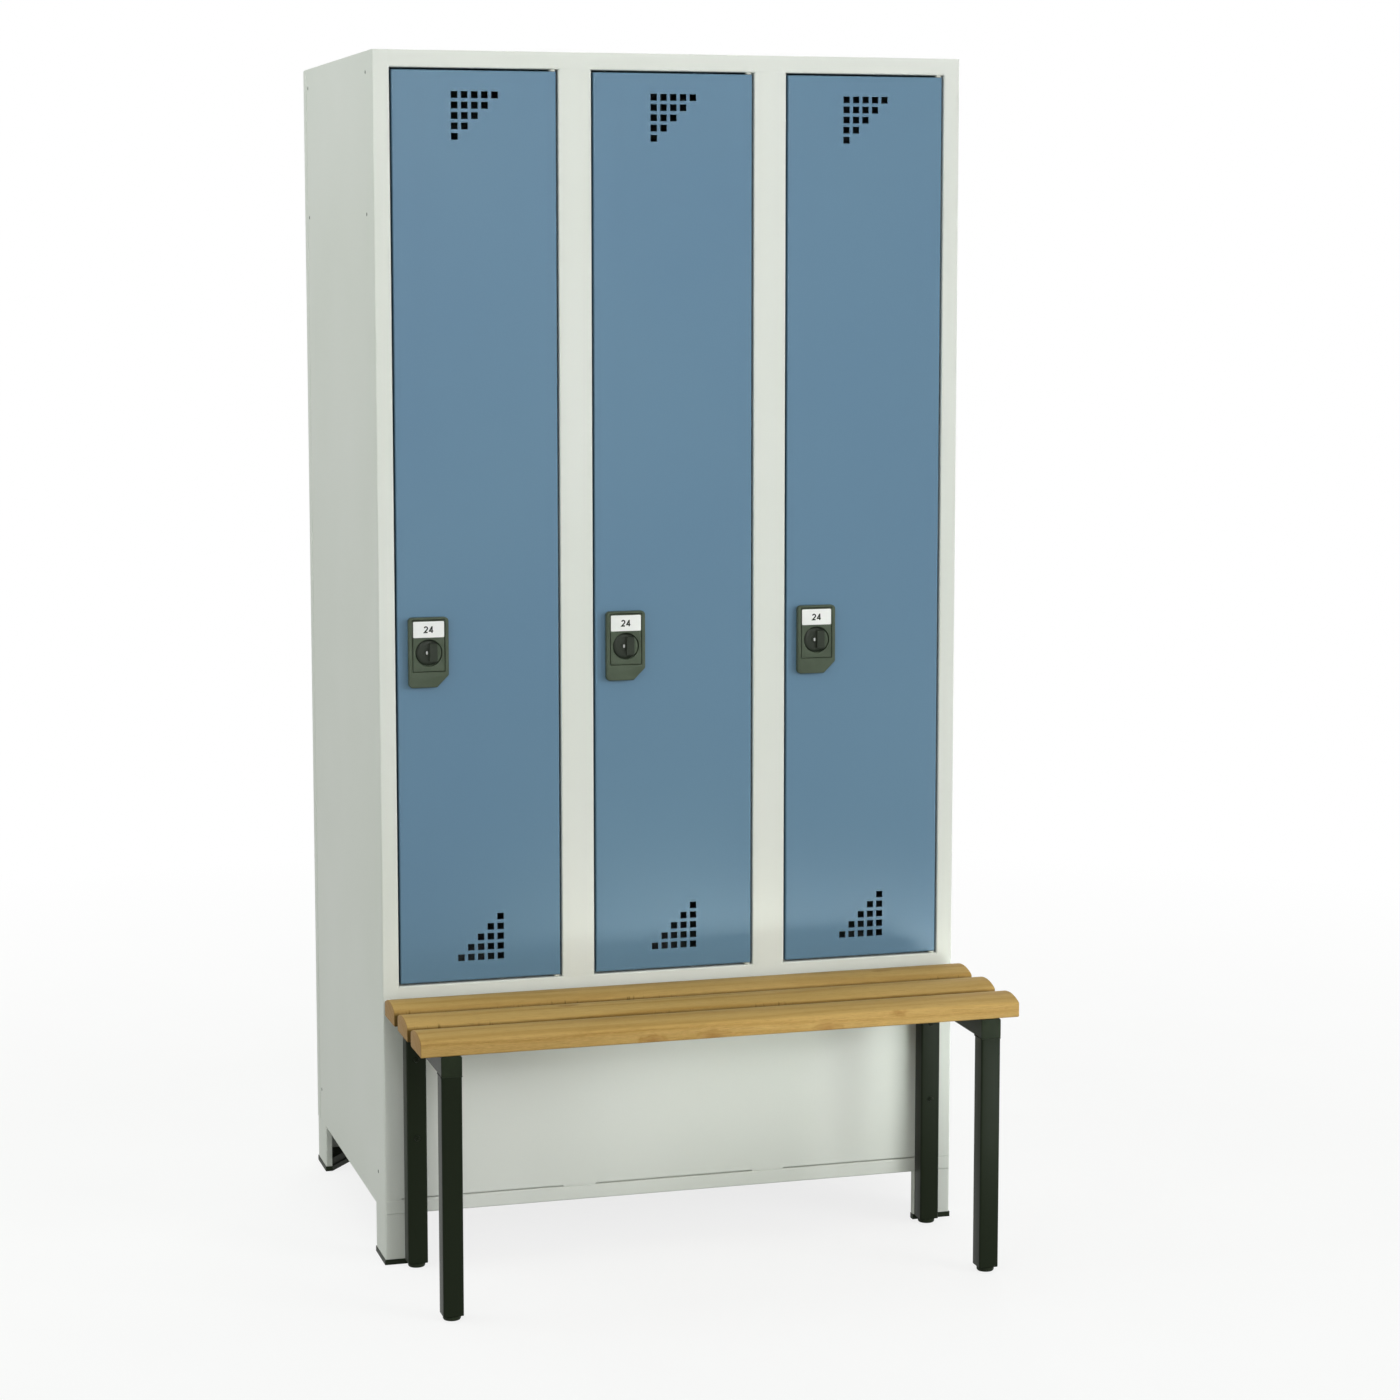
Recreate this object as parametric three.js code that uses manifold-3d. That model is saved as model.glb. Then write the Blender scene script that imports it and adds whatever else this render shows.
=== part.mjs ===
// A steel clothes locker with three compartments side by side and a slatted bench in front of its base.
// Lengths are in millimetres. X runs along the front, Y from the front to the back, Z upwards.
// The pieces are laid out from the locker's front left corner on the floor, and the whole group is
// then moved so that the origin lies on the floor in the middle of the footprint.

import * as THREE from "three";
import { mergeVertices } from "three/addons/utils/BufferGeometryUtils.js";
import Module from "manifold-3d";

const wasm = await Module();
wasm.setup();

// Locker: overall sizes
const lockerWidth = 900;
const lockerHeight = 1800;
const lockerDepth = 600;
const compartments = 3;

// Locker: sheet steel and the front frame
const sheet = 1;
const bendRadius = 2.5;
const postWidth = 25;
const mullionWidth = 50;
const topRailHeight = 25;
const frameDepth = 22;
const sillHeight = 425;
const cornerFlange = 8;
const rearFlange = 5;
const bottomRailHeight = 22;
const seamGap = 1.2;

// Locker: feet
const footHeight = 77;
const footFrontWidth = 60;
const footSideWidth = 75;
const footReturn = 10;
const footSheet = 2;
const footSetback = 1;
const footCapHeight = 8;
const footCapProud = 0.8;
const footCapPlug = 12;

// Locker: holes in the side panels, for joining lockers in a row
const sideHoleRadius = 3.2;
const sideHoleFrontInset = 54;
const sideHoleRearInset = 40;
const sideHoleTopDrop = 30;
const sideHoleUpperPitch = 205;
const sideHoleBottomRise = 53;

// Compartments: hat shelf and coat rail
const shelfDrop = 300;
const shelfLip = 22;
const shelfLipReturn = 10;
const coatRailRadius = 10;
const coatRailDrop = 55;
const railSocketRadius = 17;
const railSocketThickness = 4;

// Doors
const doorGap = 3;
const doorDepth = 20;
const doorSheet = 1;
const doorLip = 12;
const stiffenerWidth = 60;
const stiffenerDepth = 12;
const stiffenerEndInset = 130;
const ventSide = 10;
const ventPitch = 15;
const ventEdgeInset = 38;
const ventRows = 5;

// Hinge pins
const pivotInset = 5;
const pinRadius = 3;
const pinHold = 15;
const pinReach = 10;
const collarRadius = 4.6;

// Locks
const lockPlateInset = 18;
const lockPlateWidth = 60;
const lockPlateHeight = 104;
const lockPlateBottom = 448;
const lockPlateProud = 10;
const lockPlateCorner = 6;
const lockPlateChamfer = 18;
const lockRecessWidth = 48;
const lockRecessHeight = 47;
const lockRecessRise = 28;
const lockRecessDepth = 8;
const lockBossSide = 44;
const labelPocketWidth = 47;
const labelPocketHeight = 24.5;
const labelPocketDepth = 1;
const labelPocketDrop = 5.5;
const knobRadius = 19;
const knobBase = 3.5;
const gripRadius = 16;
const gripHeight = 5;
const spindleRadius = 4;
const spindleTail = 3;
const camClearance = 1;
const camThickness = 2.5;
const camWidth = 16;
const camHeel = 10;
const camCatch = 10;

// Bench, as long as the locker is wide
const seatHeight = 416;
const slatWidth = 74;
const slatGap = 24;
const slatThickness = 30;
const slatCrown = 8;
const slatCorner = 2;
const slats = 3;
const slatRearGap = 16;
const benchTube = 30;
const tubeWall = 2;
const tubeCorner = 3;
const legInset = 29;
const glideHeight = 8;
const glideRadius = 13;
const glideEdge = 2;
const glidePlug = 14;

// Clearances
const fit = 0.3;
const overrun = 5;

// Fineness of round shapes
const bendSteps = 4;
const crownSteps = 12;
const roundSides = 16;
const discSides = 32;
const halfTurn = Math.PI;
const quarterTurn = halfTurn / 2;

// Levels and places that follow from the sizes above
const openingWidth =
  (lockerWidth - 2 * postWidth - (compartments - 1) * mullionWidth) / compartments;
const openingPitch = openingWidth + mullionWidth;
const openingTop = lockerHeight - topRailHeight;
const railTop = footHeight + bottomRailHeight;
const roofUnderside = lockerHeight - sheet;
const postFoot = sillHeight - bendRadius;
const panelLeft = bendRadius;
const panelRight = lockerWidth - bendRadius;
const shelfLevel = openingTop - shelfDrop;
const doorLeft = doorGap;
const doorRight = openingWidth - doorGap;
const doorBottom = sillHeight + doorGap;
const doorTop = openingTop - doorGap;
const pivotX = doorRight - pivotInset;
const plateLeft = lockPlateInset;
const plateRight = lockPlateInset + lockPlateWidth;
const plateBottom = sillHeight + lockPlateBottom;
const plateTop = plateBottom + lockPlateHeight;
const knobX = (plateLeft + plateRight) / 2;
const recessBottom = plateBottom + lockRecessRise;
const knobZ = recessBottom + lockRecessHeight / 2;
const recessFloor = lockRecessDepth - lockPlateProud;
const camFront = frameDepth + camClearance;
const benchReach = slatRearGap + slats * slatWidth + (slats - 1) * slatGap;
const slatUnderside = seatHeight - slatThickness;
const tubeUnderside = slatUnderside - benchTube;

// Finishes
const bodyPaint = { color: 0xdcdfd8, roughness: 0.5, metalness: 0.1 };
const doorPaint = { color: 0x6c8ca2, roughness: 0.5, metalness: 0.1 };
const tubePaint = { color: 0x23291f, roughness: 0.45, metalness: 0.1 };
const oak = { color: 0xb4945a, roughness: 0.55, metalness: 0 };
const blackPlastic = { color: 0x1d1f1c, roughness: 0.5, metalness: 0 };
const zincSteel = { color: 0xc3c6c4, roughness: 0.35, metalness: 0.9 };

// Solids

function toSolid(geometry) {
  const bare = geometry.clone();
  bare.deleteAttribute("normal");
  bare.deleteAttribute("uv");
  const merged = mergeVertices(bare);
  return new wasm.Manifold(
    new wasm.Mesh({
      numProp: 3,
      vertProperties: merged.attributes.position.array,
      triVerts: new Uint32Array(merged.index.array),
    }),
  );
}

function toGeometry(solid) {
  const { numProp, vertProperties, triVerts } = solid.getMesh();
  const points = new Float32Array((vertProperties.length / numProp) * 3);
  for (let i = 0; i < points.length / 3; i++) {
    points.set(vertProperties.subarray(i * numProp, i * numProp + 3), i * 3);
  }
  const geometry = new THREE.BufferGeometry();
  geometry.setAttribute("position", new THREE.BufferAttribute(points, 3));
  geometry.setIndex(new THREE.BufferAttribute(triVerts, 1));
  const flat = geometry.toNonIndexed();
  flat.computeVertexNormals();
  return flat;
}

function block(low, high) {
  const [dx, dy, dz] = high.map((value, i) => value - low[i]);
  const geometry = new THREE.BoxGeometry(dx, dy, dz);
  geometry.translate(low[0] + dx / 2, low[1] + dy / 2, low[2] + dz / 2);
  return toSolid(geometry);
}

function rod(start, end, radius, sides = roundSides) {
  const from = new THREE.Vector3(...start);
  const run = new THREE.Vector3(...end).sub(from);
  const geometry = new THREE.CylinderGeometry(radius, radius, run.length(), sides);
  geometry.translate(0, run.length() / 2, 0);
  const up = new THREE.Vector3(0, 1, 0);
  geometry.applyQuaternion(new THREE.Quaternion().setFromUnitVectors(up, run.clone().normalize()));
  geometry.translate(...start);
  return toSolid(geometry);
}

function join(solids) {
  return solids.reduce((whole, solid) => whole.add(solid));
}

function cut(solid, tools) {
  return tools.reduce((rest, tool) => rest.subtract(tool), solid);
}

// A flat outline, and any holes in it, drawn out along one axis. The outline's two coordinates are the
// two that its axis leaves, in the order X, Y, Z.
const sweepBasis = {
  x: [new THREE.Vector3(0, 1, 0), new THREE.Vector3(0, 0, 1), new THREE.Vector3(1, 0, 0)],
  y: [new THREE.Vector3(0, 0, 1), new THREE.Vector3(1, 0, 0), new THREE.Vector3(0, 1, 0)],
  z: [new THREE.Vector3(1, 0, 0), new THREE.Vector3(0, 1, 0), new THREE.Vector3(0, 0, 1)],
};

function sweep(axis, outline, low, high, holes = []) {
  const ring = (points) => {
    const turned = axis === "y" ? points.map(([a, b]) => [b, a]).reverse() : points;
    return turned.map(([a, b]) => new THREE.Vector2(a, b));
  };
  const shape = new THREE.Shape(ring(outline));
  shape.holes = holes.map((hole) => new THREE.Path(ring(hole)));
  const geometry = new THREE.ExtrudeGeometry(shape, { depth: high - low, bevelEnabled: false });
  geometry.translate(0, 0, low);
  geometry.applyMatrix4(new THREE.Matrix4().makeBasis(...sweepBasis[axis]));
  return toSolid(geometry);
}

// Outlines

function rectangle(a0, a1, b0, b1) {
  return [[a0, b0], [a1, b0], [a1, b1], [a0, b1]];
}

// A path of straight runs whose corners, all turning left, are rounded. The path is moved inwards, to
// its left, by inset, and each corner keeps its centre.
function roundedPath(points, radius, inset) {
  const result = [];
  const heading = (from, to) => Math.atan2(to[1] - from[1], to[0] - from[0]);
  const moved = ([a, b], angle) => [a - inset * Math.sin(angle), b + inset * Math.cos(angle)];
  const last = points.length - 1;
  result.push(moved(points[0], heading(points[0], points[1])));
  for (let i = 1; i < last; i++) {
    const before = heading(points[i - 1], points[i]);
    let turn = heading(points[i], points[i + 1]) - before;
    if (turn < 0) {
      turn += 2 * halfTurn;
    }
    const back = radius * Math.tan(turn / 2);
    const centre = [
      points[i][0] - back * Math.cos(before) - radius * Math.sin(before),
      points[i][1] - back * Math.sin(before) + radius * Math.cos(before),
    ];
    for (let step = 0; step <= bendSteps; step++) {
      const angle = before + (turn * step) / bendSteps;
      const reach = radius - inset;
      result.push([centre[0] + reach * Math.sin(angle), centre[1] - reach * Math.cos(angle)]);
    }
  }
  result.push(moved(points[last], heading(points[last - 1], points[last])));
  return result;
}

// The section of a sheet folded along a path, with its inner face on the path's left.
function foldedSheet(points, thickness, radius = bendRadius) {
  const outer = roundedPath(points, radius, 0);
  const inner = roundedPath(points, radius, thickness);
  return [...outer, ...inner.reverse()];
}

// A convex outline, anticlockwise, with every side moved outwards, or inwards by a negative amount.
function grown(points, amount) {
  return points.map((point, i) => {
    const before = points[(i + points.length - 1) % points.length];
    const after = points[(i + 1) % points.length];
    const into = Math.atan2(point[1] - before[1], point[0] - before[0]);
    const turn = Math.atan2(after[1] - point[1], after[0] - point[0]) - into;
    const reach = amount / Math.cos(turn / 2);
    const aim = into + turn / 2 - quarterTurn;
    return [point[0] + reach * Math.cos(aim), point[1] + reach * Math.sin(aim)];
  });
}

function circle(a, b, radius, sides) {
  return Array.from({ length: sides }, (_, i) => {
    const angle = (i * 2 * halfTurn) / sides;
    return [a + radius * Math.cos(angle), b + radius * Math.sin(angle)];
  });
}

// A rectangle with all four corners rounded.
function roundedRectangle(a0, a1, b0, b1, radius) {
  const start = [(a0 + a1) / 2, b0];
  const path = [start, [a1, b0], [a1, b1], [a0, b1], [a0, b0], start];
  return roundedPath(path, radius, 0).slice(1);
}

// Meshes

function addPiece(group, name, solid, finish) {
  const mesh = new THREE.Mesh(toGeometry(solid), new THREE.MeshStandardMaterial(finish));
  mesh.name = name;
  group.add(mesh);
}

// Carcass: panels

function sidePanel(left) {
  const front = cornerFlange;
  const rear = lockerDepth - rearFlange;
  const outline = rectangle(front, rear, footHeight, roofUnderside);
  const levels = [
    lockerHeight - sideHoleTopDrop,
    lockerHeight - sideHoleTopDrop - sideHoleUpperPitch,
    footHeight + sideHoleBottomRise,
  ];
  const columns = [sideHoleFrontInset, lockerDepth - sideHoleRearInset];
  const holes = levels.flatMap((z) => columns.map((y) => circle(y, z, sideHoleRadius, roundSides)));
  return sweep("x", outline, left, left + sheet, holes);
}

// Below the doors the post keeps only its folded corner, and the front panels stand beside that.
function cornerPost(left) {
  const isLeft = left === 0;
  const right = left + postWidth;
  const path = [
    [left, isLeft ? cornerFlange : frameDepth],
    [left, 0],
    [right, 0],
    [right, isLeft ? frameDepth : cornerFlange],
  ];
  const post = sweep("z", foldedSheet(path, sheet), footHeight, roofUnderside);
  const clearLeft = isLeft ? bendRadius : left - overrun;
  const clearRight = isLeft ? right + overrun : lockerWidth - bendRadius;
  const below = block(
    [clearLeft, -overrun, footHeight - overrun],
    [clearRight, frameDepth + overrun, postFoot],
  );
  return cut(post, [below]);
}

function rearPanel() {
  const path = [
    [lockerWidth, lockerDepth - rearFlange],
    [lockerWidth, lockerDepth],
    [0, lockerDepth],
    [0, lockerDepth - rearFlange],
  ];
  return sweep("z", foldedSheet(path, sheet), footHeight, roofUnderside);
}

function topPanel() {
  const outline = roundedRectangle(0, lockerWidth, 0, lockerDepth, bendRadius);
  return sweep("z", outline, roofUnderside, lockerHeight);
}

function compartmentFloor() {
  return block(
    [sheet, frameDepth, sillHeight - sheet],
    [lockerWidth - sheet, lockerDepth - bendRadius, sillHeight],
  );
}

// Carcass: front frame. The rails' returns are drilled for the hinge pins.

function pivotHoles(z0, z1) {
  return Array.from({ length: compartments }, (_, i) => {
    const x = postWidth + i * openingPitch + pivotX;
    return rod([x, pivotInset, z0 - overrun], [x, pivotInset, z1 + overrun], pinRadius + fit);
  });
}

function topRail() {
  const path = [[0, roofUnderside], [0, openingTop], [frameDepth, openingTop]];
  const rail = sweep("x", foldedSheet(path, sheet), postWidth, lockerWidth - postWidth);
  return cut(rail, pivotHoles(openingTop, openingTop + sheet));
}

function mullion(left) {
  const right = left + mullionWidth;
  const path = [[left, frameDepth], [left, 0], [right, 0], [right, frameDepth]];
  return sweep("z", foldedSheet(path, sheet), sillHeight, openingTop);
}

// The panel under the doors stands a hair above the bottom rail. Tabs under the posts and mullions rest
// on the rail, and the panel's top corners make room for the posts.
function lowerFrontPanel() {
  const bottom = railTop + seamGap;
  const path = [[frameDepth, sillHeight], [0, sillHeight], [0, bottom], [frameDepth, bottom]];
  const panel = sweep("x", foldedSheet(path, sheet), panelLeft, panelRight);
  const corner = (x0, x1) =>
    block([x0, -overrun, postFoot], [x1, frameDepth + overrun, sillHeight + overrun]);
  const corners = [
    corner(-overrun, postWidth),
    corner(lockerWidth - postWidth, lockerWidth + overrun),
  ];
  const tabs = [[panelLeft, postWidth], [lockerWidth - postWidth, panelRight]];
  for (let i = 0; i < compartments - 1; i++) {
    const left = postWidth + openingWidth + i * openingPitch;
    tabs.push([left, left + mullionWidth]);
  }
  return join([
    cut(panel, [...corners, ...pivotHoles(sillHeight - sheet, sillHeight)]),
    ...tabs.map(([x0, x1]) => block([x0, 0, railTop], [x1, sheet, bottom + bendRadius])),
  ]);
}

function bottomRail() {
  const path = [[frameDepth, railTop], [0, railTop], [0, footHeight], [frameDepth, footHeight]];
  return sweep("x", foldedSheet(path, sheet), panelLeft, panelRight);
}

// Compartments

// The front edge of a partition reaches into its mullion and stops behind the top rail.
function partition(centre) {
  const rear = lockerDepth - sheet;
  const outline = [
    [sheet, sillHeight],
    [rear, sillHeight],
    [rear, roofUnderside],
    [frameDepth, roofUnderside],
    [frameDepth, openingTop],
    [sheet, openingTop],
  ];
  return sweep("x", outline, centre - sheet / 2, centre + sheet / 2);
}

function compartmentSides(index) {
  const centre = (i) => postWidth + i * openingPitch - mullionWidth / 2;
  const left = index === 0 ? sheet : centre(index) + sheet / 2;
  const right = index === compartments - 1 ? lockerWidth - sheet : centre(index + 1) - sheet / 2;
  return [left, right];
}

function hatShelf(index) {
  const [left, right] = compartmentSides(index);
  const lipBottom = shelfLevel - shelfLip;
  const path = [
    [lockerDepth - bendRadius, shelfLevel],
    [frameDepth, shelfLevel],
    [frameDepth, lipBottom],
    [frameDepth + shelfLipReturn, lipBottom],
  ];
  return sweep("x", foldedSheet(path, sheet), left, right);
}

function coatRail(index) {
  const [left, right] = compartmentSides(index);
  const y = lockerDepth / 2;
  const z = shelfLevel - coatRailDrop;
  const socketLeft = left + railSocketThickness;
  const socketRight = right - railSocketThickness;
  return join([
    rod([left, y, z], [right, y, z], coatRailRadius),
    rod([left, y, z], [socketLeft, y, z], railSocketRadius),
    rod([socketRight, y, z], [right, y, z], railSocketRadius),
  ]);
}

// Feet: a corner of folded sheet at each corner of the base, standing on a plastic cap

function footCorner(isRight, isRear) {
  const place = ([x, y]) => [isRight ? lockerWidth - x : x, isRear ? lockerDepth - y : y];
  const path = [
    [footReturn, footSideWidth],
    [0, footSideWidth],
    [0, footSetback],
    [footFrontWidth, footSetback],
    [footFrontWidth, footSetback + footReturn],
  ].map(place);
  return isRight === isRear ? path : path.reverse();
}

function foot(isRight, isRear) {
  const section = foldedSheet(footCorner(isRight, isRear), footSheet);
  return sweep("z", section, footCapHeight, footHeight);
}

function footCap(isRight, isRear) {
  const corner = footCorner(isRight, isRear);
  const plugTop = footCapHeight + footCapPlug;
  return join([
    sweep("z", grown(corner, footCapProud), 0, footCapHeight),
    sweep("z", grown(corner, -footSheet - fit), 0, plugTop),
  ]);
}

// Doors: a tray with rounded front edges, its rear edges folded in, with a hat section down the middle

function doorTray(inset, rear) {
  const across = [[doorLeft, rear], [doorLeft, 0], [doorRight, 0], [doorRight, rear]];
  const upright = [[rear, doorTop], [0, doorTop], [0, doorBottom], [rear, doorBottom]];
  return sweep("z", roundedPath(across, bendRadius, inset), doorBottom + inset, doorTop - inset).intersect(
    sweep("x", roundedPath(upright, bendRadius, inset), doorLeft + inset, doorRight - inset),
  );
}

function doorLips() {
  const front = doorDepth - doorSheet;
  const outer = rectangle(doorLeft, doorRight, doorBottom, doorTop);
  const inner = rectangle(doorLeft + doorLip, doorRight - doorLip, doorBottom + doorLip, doorTop - doorLip);
  return sweep("y", outer, front, doorDepth, [inner]);
}

function stiffener() {
  const middle = (doorLeft + doorRight) / 2;
  const left = middle - stiffenerWidth / 2;
  const right = middle + stiffenerWidth / 2;
  const path = [[right, 0], [right, stiffenerDepth], [left, stiffenerDepth], [left, 0]];
  const bottom = doorBottom + stiffenerEndInset;
  const top = doorTop - stiffenerEndInset;
  const hat = sweep("z", foldedSheet(path, doorSheet), bottom, top);
  return cut(hat, [block([left - overrun, -overrun, bottom], [right + overrun, doorSheet / 2, top])]);
}

// A triangle of square holes near the top of the door, its full row at the top, and the same triangle
// turned round near the bottom.
function vents() {
  const span = (ventRows - 1) * ventPitch;
  const left = openingWidth / 2 - span / 2;
  const right = openingWidth / 2 + span / 2;
  const holes = [];
  for (let row = 0; row < ventRows; row++) {
    for (let column = 0; column < ventRows - row; column++) {
      const across = column * ventPitch;
      const along = row * ventPitch;
      holes.push([left + across, openingTop - ventEdgeInset - along]);
      holes.push([right - across, sillHeight + ventEdgeInset + along]);
    }
  }
  const half = ventSide / 2;
  return holes.map(([x, z]) =>
    block([x - half, -overrun, z - half], [x + half, doorSheet + overrun, z + half]),
  );
}

function lockBoss(margin, rear) {
  const half = lockBossSide / 2 + margin;
  return block([knobX - half, -margin, knobZ - half], [knobX + half, rear, knobZ + half]);
}

function door() {
  const shell = doorTray(0, doorDepth).subtract(doorTray(doorSheet, doorDepth + overrun));
  const body = join([shell, doorLips(), stiffener()]);
  const pinHole = rod(
    [pivotX, pivotInset, doorBottom - overrun],
    [pivotX, pivotInset, doorTop + overrun],
    pinRadius + fit,
  );
  return cut(body, [...vents(), lockBoss(fit, doorSheet + fit), pinHole]);
}

// A pin is held in the door's end and turns in the frame. Its collar fills the gap between the two.
function hingePin(doorEnd, outwards) {
  const at = (distance) => [pivotX, pivotInset, doorEnd + outwards * distance];
  return join([
    rod(at(-pinHold), at(doorGap + pinReach), pinRadius),
    rod(at(fit), at(doorGap - fit), collarRadius),
  ]);
}

// Locks: a plastic housing with a recessed turning knob, and a cam that swings behind the frame

function lockPlateOutline() {
  const middle = (plateBottom + plateTop) / 2;
  const chamferLeft = plateRight - lockPlateChamfer;
  const chamferTop = plateBottom + lockPlateChamfer;
  const rounded = roundedPath(
    [
      [plateRight, middle],
      [plateRight, plateTop],
      [plateLeft, plateTop],
      [plateLeft, plateBottom],
      [chamferLeft, plateBottom],
    ],
    lockPlateCorner,
    0,
  );
  return [...rounded, [plateRight, chamferTop]];
}

function lockHousing() {
  const recessHalf = lockRecessWidth / 2;
  const recess = block(
    [knobX - recessHalf, -lockPlateProud - overrun, recessBottom],
    [knobX + recessHalf, recessFloor, recessBottom + lockRecessHeight],
  );
  const labelTop = plateTop - labelPocketDrop;
  const labelPocket = block(
    [knobX - labelPocketWidth / 2, -lockPlateProud - overrun, labelTop - labelPocketHeight],
    [knobX + labelPocketWidth / 2, labelPocketDepth - lockPlateProud, labelTop],
  );
  const spindleHole = rod(
    [knobX, -lockPlateProud, knobZ],
    [knobX, doorDepth + overrun, knobZ],
    spindleRadius + fit,
  );
  const plate = sweep("y", lockPlateOutline(), -lockPlateProud, 0);
  return cut(join([plate, lockBoss(0, doorDepth)]), [recess, labelPocket, spindleHole]);
}

function lockKnob() {
  const back = recessFloor - fit;
  const face = back - knobBase;
  const grip = circle(knobX, knobZ, gripRadius, discSides).filter(([x]) => x > knobX + spindleRadius / 2);
  const tail = camFront + camThickness + spindleTail;
  return join([
    rod([knobX, face, knobZ], [knobX, back, knobZ], knobRadius, discSides),
    rod([knobX, face, knobZ], [knobX, tail, knobZ], spindleRadius),
    sweep("y", grip, face - gripHeight, back),
  ]);
}

function lockCam() {
  const reach = knobX + camCatch;
  const outline = rectangle(knobX - camWidth / 2, knobX + camWidth / 2, knobZ - reach, knobZ + camHeel);
  const hole = circle(knobX, knobZ, spindleRadius + fit, roundSides);
  return sweep("y", outline, camFront, camFront + camThickness, [hole]);
}

// Bench

function slatOutline(rear) {
  const front = rear - slatWidth;
  const shoulder = seatHeight - slatCrown;
  const half = slatWidth / 2;
  const radius = (half * half + slatCrown * slatCrown) / (2 * slatCrown);
  const spread = Math.asin(half / radius);
  const outline = [
    [front + slatCorner, slatUnderside],
    [rear - slatCorner, slatUnderside],
    [rear, slatUnderside + slatCorner],
  ];
  for (let step = 0; step <= crownSteps; step++) {
    const angle = spread - (2 * spread * step) / crownSteps;
    const rise = radius * (Math.cos(angle) - Math.cos(spread));
    outline.push([front + half + radius * Math.sin(angle), shoulder + rise]);
  }
  return [...outline, [front, slatUnderside + slatCorner]];
}

function slat(index) {
  const rear = -slatRearGap - index * (slatWidth + slatGap);
  return sweep("x", slatOutline(rear), 0, lockerWidth);
}

function squareTube(axis, low, high, a, b) {
  const outer = roundedRectangle(a, a + benchTube, b, b + benchTube, tubeCorner);
  const inner = rectangle(a + tubeWall, a + benchTube - tubeWall, b + tubeWall, b + benchTube - tubeWall);
  return sweep(axis, outer, low, high, [inner]);
}

function benchLeg(left, front) {
  return squareTube("z", glideHeight, tubeUnderside, left, front);
}

function benchRail(left) {
  return squareTube("y", -benchReach, 0, left, tubeUnderside);
}

// A round pad with eased edges, and the square plug that holds it in its leg.
function glide(left, front) {
  const profile = [
    [0, 0],
    [glideRadius - glideEdge, 0],
    [glideRadius, glideEdge],
    [glideRadius, glideHeight],
    [0, glideHeight],
  ].map(([radius, level]) => new THREE.Vector2(radius, level));
  const pad = new THREE.LatheGeometry(profile, roundSides);
  pad.rotateX(quarterTurn);
  pad.translate(left + benchTube / 2, front + benchTube / 2, 0);
  const margin = tubeWall + fit;
  const plug = block(
    [left + margin, front + margin, glideHeight],
    [left + benchTube - margin, front + benchTube - margin, glideHeight + glidePlug],
  );
  return join([toSolid(pad), plug]);
}

// The whole object

function buildCarcass(group) {
  const farPost = lockerWidth - postWidth;
  addPiece(group, "left_side_panel", sidePanel(0), bodyPaint);
  addPiece(group, "right_side_panel", sidePanel(lockerWidth - sheet), bodyPaint);
  addPiece(group, "left_corner_post", cornerPost(0), bodyPaint);
  addPiece(group, "right_corner_post", cornerPost(farPost), bodyPaint);
  addPiece(group, "rear_panel", rearPanel(), bodyPaint);
  addPiece(group, "top_panel", topPanel(), bodyPaint);
  addPiece(group, "compartment_floor", compartmentFloor(), bodyPaint);
  addPiece(group, "top_rail", topRail(), bodyPaint);
  addPiece(group, "lower_front_panel", lowerFrontPanel(), bodyPaint);
  addPiece(group, "bottom_rail", bottomRail(), bodyPaint);
  for (let i = 1; i < compartments; i++) {
    const left = postWidth + i * openingPitch - mullionWidth;
    addPiece(group, `mullion_${i}`, mullion(left), bodyPaint);
    addPiece(group, `partition_${i}`, partition(left + mullionWidth / 2), bodyPaint);
  }
  for (let i = 0; i < compartments; i++) {
    addPiece(group, `hat_shelf_${i + 1}`, hatShelf(i), bodyPaint);
    addPiece(group, `coat_rail_${i + 1}`, coatRail(i), zincSteel);
  }
}

function buildFeet(group) {
  for (const [side, isRight] of [["left", false], ["right", true]]) {
    for (const [end, isRear] of [["front", false], ["rear", true]]) {
      addPiece(group, `foot_${end}_${side}`, foot(isRight, isRear), bodyPaint);
      addPiece(group, `foot_cap_${end}_${side}`, footCap(isRight, isRear), blackPlastic);
    }
  }
}

function buildDoor(group, number) {
  addPiece(group, `door_${number}`, door(), doorPaint);
  addPiece(group, `hinge_pin_top_${number}`, hingePin(doorTop, 1), zincSteel);
  addPiece(group, `hinge_pin_bottom_${number}`, hingePin(doorBottom, -1), zincSteel);
  addPiece(group, `lock_housing_${number}`, lockHousing(), blackPlastic);
  addPiece(group, `lock_knob_${number}`, lockKnob(), blackPlastic);
  addPiece(group, `lock_cam_${number}`, lockCam(), zincSteel);
}

function buildBench(group) {
  ["rear", "middle", "front"].slice(0, slats).forEach((place, i) => {
    addPiece(group, `bench_slat_${place}`, slat(i), oak);
  });
  const ends = [["left", legInset], ["right", lockerWidth - legInset - benchTube]];
  for (const [side, left] of ends) {
    addPiece(group, `bench_rail_${side}`, benchRail(left), tubePaint);
    for (const [end, front] of [["front", -benchReach], ["rear", -benchTube]]) {
      addPiece(group, `bench_leg_${end}_${side}`, benchLeg(left, front), tubePaint);
      addPiece(group, `bench_glide_${end}_${side}`, glide(left, front), blackPlastic);
    }
  }
}

const locker = new THREE.Group();
const carcass = new THREE.Group();
buildCarcass(carcass);
buildFeet(carcass);
locker.add(carcass);

for (let i = 0; i < compartments; i++) {
  const doorway = new THREE.Group();
  doorway.position.x = postWidth + i * openingPitch;
  buildDoor(doorway, i + 1);
  locker.add(doorway);
}

const bench = new THREE.Group();
buildBench(bench);
locker.add(bench);

locker.position.set(-lockerWidth / 2, (benchReach - lockerDepth) / 2, 0);

export default locker;
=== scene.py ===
"""Looks for the locker with bench: painted steel, moulded locks and lacquered slats."""
import math

import bmesh
import bpy
from mathutils import Euler, Matrix, Vector


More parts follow.
